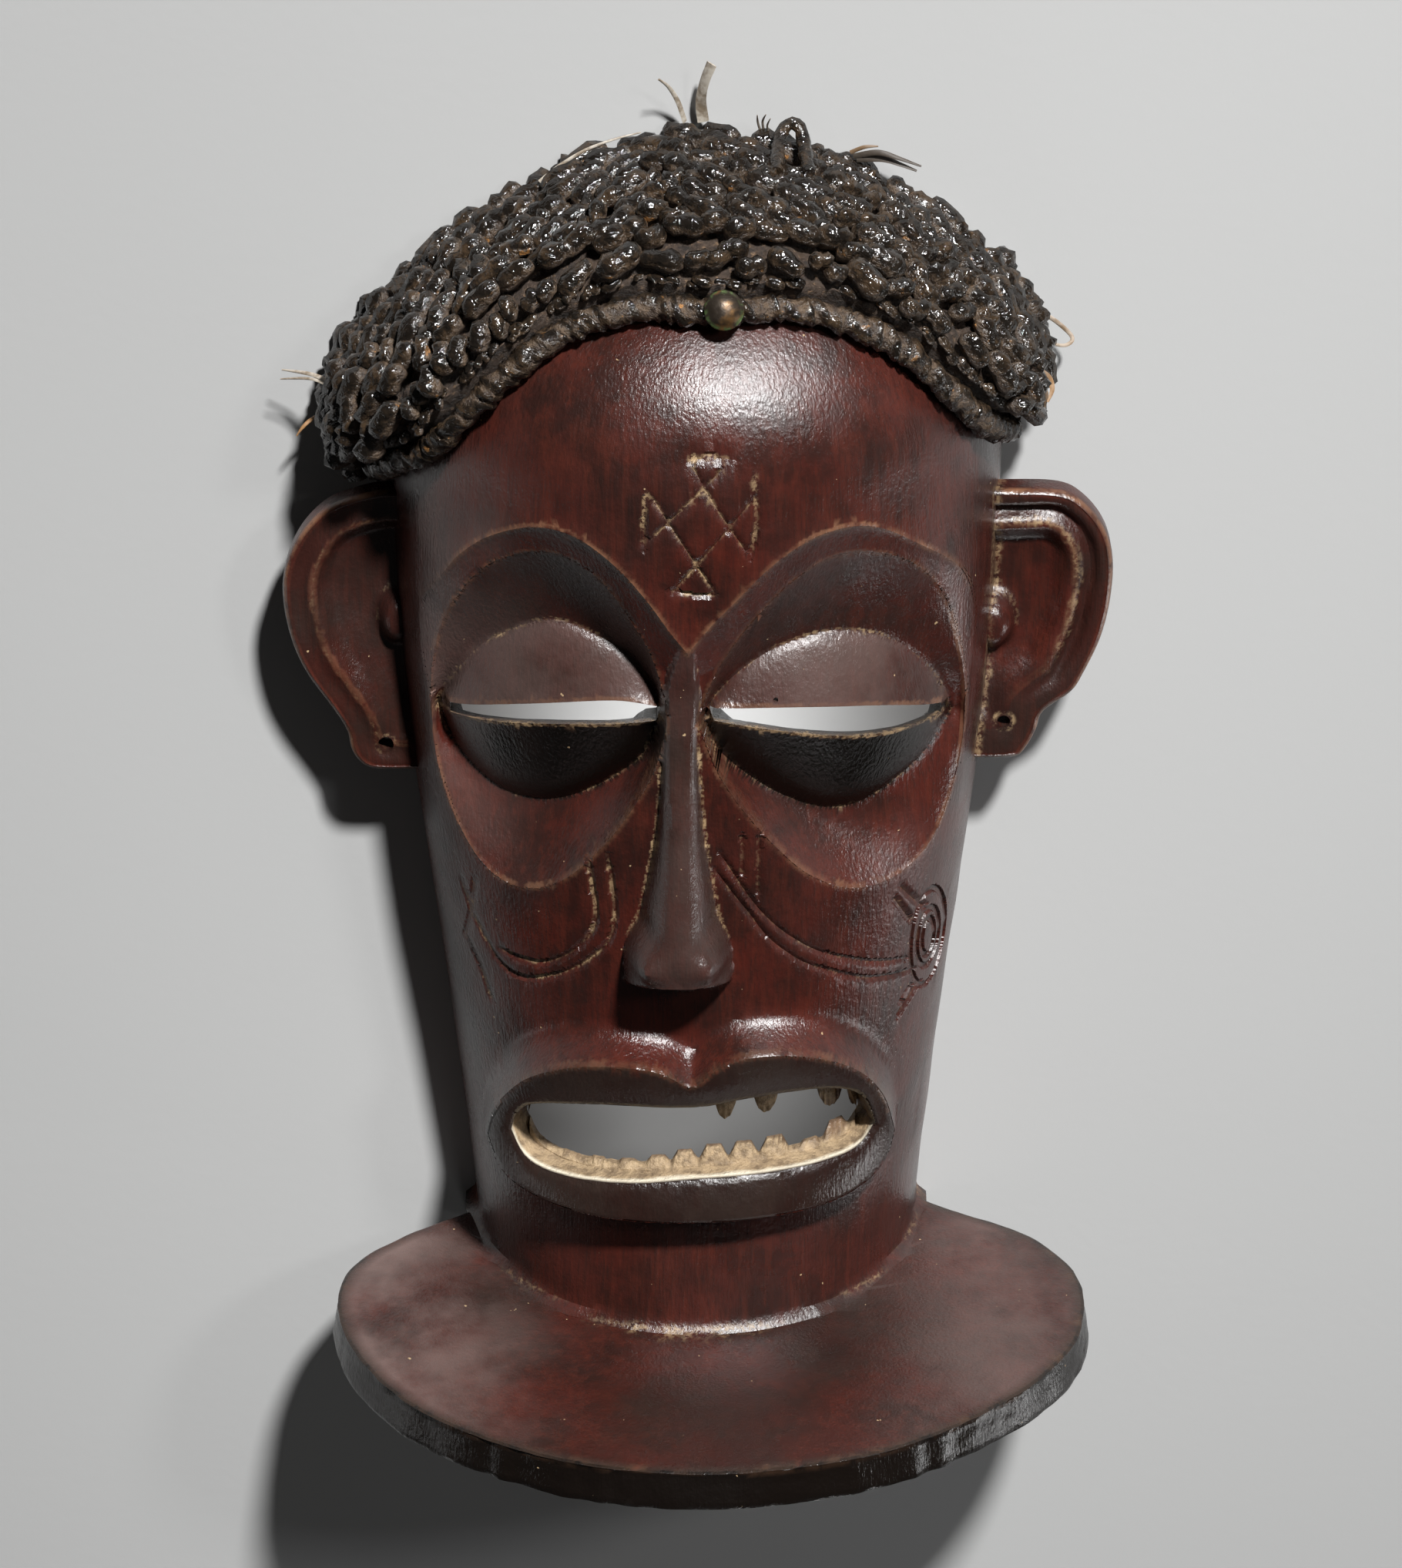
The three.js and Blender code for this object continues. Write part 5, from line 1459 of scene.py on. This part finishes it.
def wig_knots(settings):
    """Rows of knots, each bent, grooved and turned in its own way, and crumbs of wax beside the cord."""
    chance = np.random.default_rng(7)
    seed = bmesh.new()
    bmesh.ops.create_uvsphere(seed, u_segments=7, v_segments=8, radius=1)
    ball = coords(seed)
    pattern = bpy.data.meshes.new("knot")
    seed.to_mesh(pattern)
    seed.free()
    bm = bmesh.new()
    placed, sunk, tone = [], [], []
    length, width = settings.knot_length, settings.knot_width

    def knot(t, s, lift, size, lobes):
        (here, ahead), out = wig_surface(np.array([t, t + 0.01]), np.array([s, s]), lift)
        normal = Vector(out[0])
        along = Vector(ahead - here).normalized()
        tilt = (-1 if t > 0.47 else 1) * math.radians(20) + chance.normal(0, 0.24)
        along.rotate(Matrix.Rotation(tilt, 3, normal))
        side = normal.cross(along).normalized()
        along = side.cross(normal)
        half = np.array([0.455 * length, 0.38 * width, 0.47 * width]) * size * chance.uniform(0.9, 1.1, 3)
        shade = chance.uniform(0, 1)
        for local in knot_shapes(chance, ball, half, lobes):
            points = here + local @ np.array([along, side, normal])
            points[:, 2] = np.maximum(points[:, 2], 0.1)
            sunk.append(0.5 - 0.5 * local[:, 2] / half[2])
            tone.append(np.full(len(ball), shade))
            placed.append(points)
            bm.from_mesh(pattern)

    places = np.linspace(0, 1, 101)
    middle, _ = wig_surface(np.full(101, 0.5), places)
    along_middle = lengths_along(middle)
    pitch = (along_middle[-1] - 7) / (settings.knot_rows - 0.5)
    for row in range(settings.knot_rows):
        back = np.interp(5.4 + row * pitch, along_middle, places)
        line, _ = wig_surface(np.linspace(0, 1, 60), np.full(60, back))
        count = max(8, int(round(line_length(line) / (0.93 * length))))
        for k in range(count):
            t = (k + 0.5 * (row % 2) + 0.25 + chance.uniform(-0.13, 0.13)) / count
            s = np.clip(back + chance.uniform(-0.012, 0.012), 0, 0.985)
            if not 0.004 < t < 0.998:
                continue
            (here, above), _ = wig_surface(np.array([t, t]), np.array([s, max(s - 0.08, 0)]))
            # The rows run together toward the ears, so every other one ends early.
            if row % 2 and np.linalg.norm(above - here) < 0.062 * along_middle[-1]:
                continue
            knot(t, s, chance.uniform(-0.2, 1.7), chance.uniform(0.82, 1.16), chance.choice([1, 1, 2]))
    for _ in range(WAX_CRUMBS):
        knot(chance.uniform(0.02, 0.98), chance.uniform(0, 0.05), chance.uniform(-2.4, -1),
             chance.uniform(0.24, 0.46), 1)
    bpy.data.meshes.remove(pattern)
    set_coords(bm, in_frame(np.vstack(placed)))
    pixels, heights, width = STANDING_LOOP
    count = strand(bm, photo_points(pixels, heights), width, 2.8, 0.95, 0.16)
    sunk.append(np.full(count, 0.25))
    tone.append(np.full(count, 0.4))
    obj = new_object("wig_knots", bm)
    store(obj.data, "sunk", np.concatenate(sunk))
    store(obj.data, "tone", np.concatenate(tone))
    return obj


def edge_roll():
    """The cord that edges the wig, bound round on the slant."""
    around, steps = 18, 520
    path = spaced(over_face(curve(WIG_ARCH, 90), ROLL_LIFT)[0], steps)
    along = unit(np.gradient(path, axis=0))
    up = path - WIG_MIDDLE
    up = unit(up - (up * along).sum(1)[:, None] * along)
    s = np.linspace(0, line_length(path), steps)
    turn = np.linspace(0, 2 * math.pi, around, endpoint=False)
    # Two strands lie over each other like scales, with their edges on the slant.
    lean = 1.15 * np.abs(((turn / math.pi + 0.3) % 2) - 1)
    strand_at = ((s / 5.6 + 0.3 * np.sin(s * 0.23) + 0.22 * np.sin(s * 0.71))[:, None] + lean) % 1
    lump = np.minimum(strand_at / 0.72, (1 - strand_at) / 0.28) ** 0.7
    to_end = np.minimum(np.arange(steps), np.arange(steps)[::-1])
    radius = ROLL_RADIUS * (0.7 + 0.36 * lump) * np.minimum(1, 0.35 + to_end / 9)[:, None]
    out = np.cos(turn)[:, None] * up[:, None] + np.sin(turn)[:, None] * np.cross(along, up)[:, None]
    flat = (path[:, None] + radius[..., None] * out).reshape(-1, 3)
    rough = 0.75 * noise(flat, 3.4, 91) + 0.5 * noise(flat, 1.3, 92)
    flat += out.reshape(-1, 3) * rough[:, None]
    obj = new_object("wig_cord", loft(bmesh.new(), in_frame(flat).reshape(steps, around, 3)))
    store(obj.data, "sunk", 0.66 - 0.45 * lump.ravel() - 0.14 * rough)
    store(obj.data, "tone", 0.6 + 0.5 * noise(flat, 9, 93))
    return obj


def tack_head():
    """The tack's domed head, a little battered, with a thin turned rim."""
    bm = bmesh.new()
    verts = [bm.verts.new((r, 0, h)) for r, h in TACK_PROFILE]
    edges = [bm.edges.new(pair) for pair in zip(verts, verts[1:])]
    bmesh.ops.spin(bm, geom=verts + edges, cent=(0, 0, 0), axis=(0, 0, 1), angle=2 * math.pi, steps=40,
                   use_merge=True)
    bmesh.ops.remove_doubles(bm, verts=bm.verts, dist=1e-4)
    points = coords(bm)
    edge = ease(np.hypot(points[:, 0], points[:, 1]), 3.8, 4.8)
    points += 0.09 * noise(points, 1.8, 95)[:, None]
    arch = curve(WIG_ARCH, 201)
    at, normal = over_face(arch, ROLL_LIFT)
    k = int(round(TACK_AT * 200))
    up = Vector(normal[k])
    up.rotate(Matrix.Rotation(TACK_TURN, 3, "X"))
    base = Vector(at[k]) + up * (ROLL_RADIUS + GAP)
    turn = up.to_track_quat("Z", "Y").to_matrix()
    set_coords(bm, in_frame(points @ np.array(turn).T + np.array(base)))
    obj = new_object("tack", bm)
    store(obj.data, "edge", edge)
    return obj


def photo_points(pixels, heights):
    """The points over the floor, at given heights, that the photograph shows at pixels."""
    across, down = (np.array(pixels) - np.array(PHOTO_SIZE) / 2).T[..., None] * MM_PER_PIXEL
    ray = across * [1, 0, 0] - down * CAMERA_UP - CAMERA_BACK * CAMERA_DISTANCE
    eye = LOOKED_AT + CAMERA_BACK * CAMERA_DISTANCE
    return eye + ray * ((heights - eye[2]) / ray[:, 2])[:, None]


# Loose ends of fibre: pixels along each, its height over the floor there, width in mm, tint and burn.
LOOSE_ENDS = [
    ([(889, 158), (880, 132), (868, 113), (855, 103)], (3, 6, 9, 12), 1.5, 0.05, 0.0),
    ([(913, 158), (910, 130), (915, 105), (924, 83)], (3, 5, 7, 9), 3.0, 0.05, 0.0),
    ([(700, 236), (728, 214), (762, 194), (800, 180), (832, 172)], (12, 10, 9, 8, 6), 1.0, 0.05, 0.15),
    ([(1108, 203), (1140, 198), (1168, 206), (1196, 216)], (5, 7, 8, 9), 1.6, 0.2, 0.95),
    ([(1112, 206), (1145, 206), (1170, 214), (1190, 222)], (5, 6, 7, 8), 2.0, 0.2, 0.95),
    ([(1104, 198), (1122, 191), (1140, 190)], (5, 6, 7), 1.2, 0.6, 0.4),
    ([(1346, 402), (1372, 418), (1392, 438), (1384, 448), (1366, 446), (1352, 436)], (6, 7, 8, 10, 12, 15),
     1.3, 0.35, 0.2),
    ([(436, 498), (404, 486), (366, 480)], (22, 16, 12), 1.3, 0.15, 0.1),
    ([(434, 504), (404, 492), (364, 492)], (23, 17, 13), 1.0, 0.1, 0.1),
    ([(416, 538), (402, 546), (392, 556), (385, 566)], (12, 13, 14, 14), 1.2, 0.9, 0.0),
    ([(1352, 484), (1362, 492), (1366, 506), (1360, 522)], (27, 24, 24, 25), 2.0, 0.7, 0.0),
    ([(1350, 500), (1358, 512), (1356, 530)], (30, 26, 23), 1.6, 0.6, 0.1),
    ([(1294, 536), (1304, 550), (1312, 566)], (24, 20, 17), 1.4, 0.1, 0.9),
    ([(988, 172), (984, 160), (983, 150)], (4, 6, 8), 0.8, 0.2, 0.7),
    ([(992, 172), (990, 158), (994, 149)], (4, 6, 8), 0.8, 0.2, 0.7),
    ([(1000, 176), (996, 164), (1000, 154)], (4, 6, 8), 0.7, 0.2, 0.7),
]
STANDING_LOOP = ([(1006, 222), (1011, 188), (1017, 168), (1028, 160), (1039, 167), (1044, 190), (1050, 225)],
                 (26, 16, 12, 11, 12, 15, 24), 3.8)


def strand(bm, points, width, thickness, taper=0.35, lumps=0.0):
    """A flat, slightly twisted strip along a line, with its wide side toward the camera."""
    line = curve(points, 4 * len(points) + 6)
    along = unit(np.gradient(line, axis=0))
    side = unit(np.cross(CAMERA_BACK, along))
    up = np.cross(along, side)
    step = np.arange(len(line))[:, None]
    t = step / step[-1]
    half = 0.5 * width * (1 - (1 - taper) * t**2) * (1 + lumps * np.sin(2.3 * step) * np.sin(0.9 * step))
    twist = 0.5 * np.sin(3 * t + width)
    wide = (side * np.cos(twist) + up * np.sin(twist)) * half
    thin = (up * np.cos(twist) - side * np.sin(twist)) * 0.5 * thickness
    turn = np.linspace(0, 2 * math.pi, 8, endpoint=False)[:, None]
    before = len(bm.verts)
    loft(bm, in_frame(line[:, None] + wide[:, None] * np.cos(turn) + thin[:, None] * np.sin(turn)))
    return len(bm.verts) - before


def loose_ends():
    """The ends of fibre that stick out of the wig."""
    bm = bmesh.new()
    tint, burnt = [], []
    for pixels, heights, width, colour, burn in LOOSE_ENDS:
        count = strand(bm, photo_points(pixels, heights), width, 0.4, 0.95 if width > 2.5 else 0.35)
        tint += [colour] * count
        burnt += [burn] * count
    obj = new_object("loose_fibre_ends", bm)
    store(obj.data, "tint", tint)
    store(obj.data, "burnt", burnt)
    return obj


def area_light(name, power, size, at, toward, spread=180):
    """A soft round light. Spread is the angle of its beam, in degrees."""
    light = bpy.data.lights.new(name, "AREA")
    light.shape, light.size, light.energy = "DISK", size, power
    light.spread = math.radians(spread)
    obj = bpy.data.objects.new(name, light)
    bpy.context.scene.collection.objects.link(obj)
    obj.location = at
    obj.rotation_euler = (Vector(toward) - Vector(at)).to_track_quat("-Z", "Y").to_euler()
    return obj


class MASK_OT_carving(bpy.types.Operator):
    """Carve the face, ears and beard out of one body, hollow it and stain it"""

    bl_idname = "mask.carving"
    bl_label = "Carved wood"

    def execute(self, context):
        settings = context.scene.mask
        wood = face_block(settings)
        combine(wood, [beard_body(), *(ear_body(form) for form in EARS)], "UNION")
        combine(wood, [hollow_cutter(), *(slit_cutter(eye) for eye in eyes), mouth_cutter(),
                       *(pin_hole(*form["hole"]) for form in EARS), pin_hole(*LID_HOLE)], "DIFFERENCE")
        combine(wood, [tooth_row("lower_teeth", LOWER_TEETH, MOUTH_BOTTOM, 1),
                       tooth_row("upper_teeth", UPPER_TEETH, MOUTH_TOP, -1)], "UNION")
        mark_wood(wood.data)
        dress(wood, wood_material(settings), ["carved_mask"])
        return {"FINISHED"}


class MASK_OT_wig(bpy.types.Operator):
    """Lay the fibre mat over the crown and set the knots in rows on it"""

    bl_idname = "mask.wig"
    bl_label = "Fibre wig"

    def execute(self, context):
        settings = context.scene.mask
        dress(wig_mat(), fibre_material(settings), ["fibre_wig"], 80)
        dress(wig_knots(settings), knot_material(settings), ["fibre_wig"], 80)
        return {"FINISHED"}


class MASK_OT_edge(bpy.types.Operator):
    """Bind the cord along the wig's edge and drive the tack through it"""

    bl_idname = "mask.edge"
    bl_label = "Edge cord and tack"

    def execute(self, context):
        settings = context.scene.mask
        dress(edge_roll(), knot_material(settings, "waxed_cord"), ["wig_edge_roll"], 80)
        dress(tack_head(), tack_material(), ["brass_tack"], 60)
        return {"FINISHED"}


class MASK_OT_loose_ends(bpy.types.Operator):
    """Add the ends of fibre that stick out of the wig"""

    bl_idname = "mask.loose_ends"
    bl_label = "Loose fibre ends"

    def execute(self, context):
        dress(loose_ends(), straw_material(), (), 80)
        return {"FINISHED"}


class MASK_OT_stage(bpy.types.Operator):
    """Set up the pale floor, the soft lights and the camera"""

    bl_idname = "mask.stage"
    bl_label = "Stage"

    def execute(self, context):
        settings = context.scene.mask
        scene = context.scene
        bm = bmesh.new()
        bmesh.ops.create_grid(bm, x_segments=1, y_segments=1, size=4)
        floor = new_object("floor", bm)
        g = Graph("floor_paper")
        g.set(Base_Color=settings.floor_colour, Roughness=0.9)
        g.set(Normal=g.bump(g.noise(300, 3), 0.0002, 0.2))
        floor.data.materials.append(g.material)

        world = bpy.data.worlds.new("studio")
        scene.world = world
        world.use_nodes = True
        background = world.node_tree.nodes["Background"]
        background.inputs["Color"].default_value = (0.7, 0.7, 0.7, 1)
        background.inputs["Strength"].default_value = 0.045

        target = Vector(in_frame(LOOKED_AT))
        area_light("key", settings.key_power, 0.24, target + Vector((0.62, 1.98, 1.62)),
                   target + Vector((0, -0.08, 0)), 64)
        for name, power, size, at, toward, spread in SIDE_LIGHTS:
            area_light(name, power, size, target + Vector(at), target + Vector(toward), spread)
        for place, power in HOLLOW_LIGHTS:
            inside = area_light("inside", power, 0.07, in_frame(place), in_frame((*place[:2], 0)))
            inside.visible_camera = False

        camera = bpy.data.cameras.new("camera")
        camera.sensor_width = SENSOR
        camera.lens = SENSOR * CAMERA_DISTANCE / (MM_PER_PIXEL * PHOTO_SIZE[1])
        camera.clip_start, camera.clip_end = 0.05, 20
        obj = bpy.data.objects.new("camera", camera)
        scene.collection.objects.link(obj)
        back, up = Vector(CAMERA_BACK), Vector(CAMERA_UP)
        turn = Matrix((up.cross(back), up, back)).transposed().to_4x4()
        obj.matrix_world = Matrix.Translation(target + back * CAMERA_DISTANCE / 1000) @ turn
        scene.camera = obj
        scene.view_settings.view_transform = "Standard"
        return {"FINISHED"}


class MASK_PT_panel(bpy.types.Panel):
    """The mask's pieces and sizes"""

    bl_label = "Carved Face Mask"
    bl_idname = "MASK_PT_panel"
    bl_space_type = "VIEW_3D"
    bl_region_type = "UI"
    bl_category = "Mask"

    def draw(self, context):
        layout = self.layout
        for name in MaskSettings.__annotations__:
            layout.prop(context.scene.mask, name)
        for operator in OPERATORS:
            layout.operator(operator.bl_idname)


OPERATORS = (MASK_OT_carving, MASK_OT_wig, MASK_OT_edge, MASK_OT_loose_ends, MASK_OT_stage)
CLASSES = (MaskSettings, *OPERATORS, MASK_PT_panel)


def register():
    """Adds the mask's tools and settings to Blender."""
    for cls in CLASSES:
        bpy.utils.register_class(cls)
    bpy.types.Scene.mask = PointerProperty(type=MaskSettings)


def unregister():
    """Takes them out again."""
    del bpy.types.Scene.mask
    for cls in reversed(CLASSES):
        bpy.utils.unregister_class(cls)


def main():
    """Builds the mask and its stage."""
    register()
    bpy.ops.mask.carving()
    bpy.ops.mask.wig()
    bpy.ops.mask.edge()
    bpy.ops.mask.loose_ends()
    bpy.ops.mask.stage()


if __name__ == "__main__":
    main()
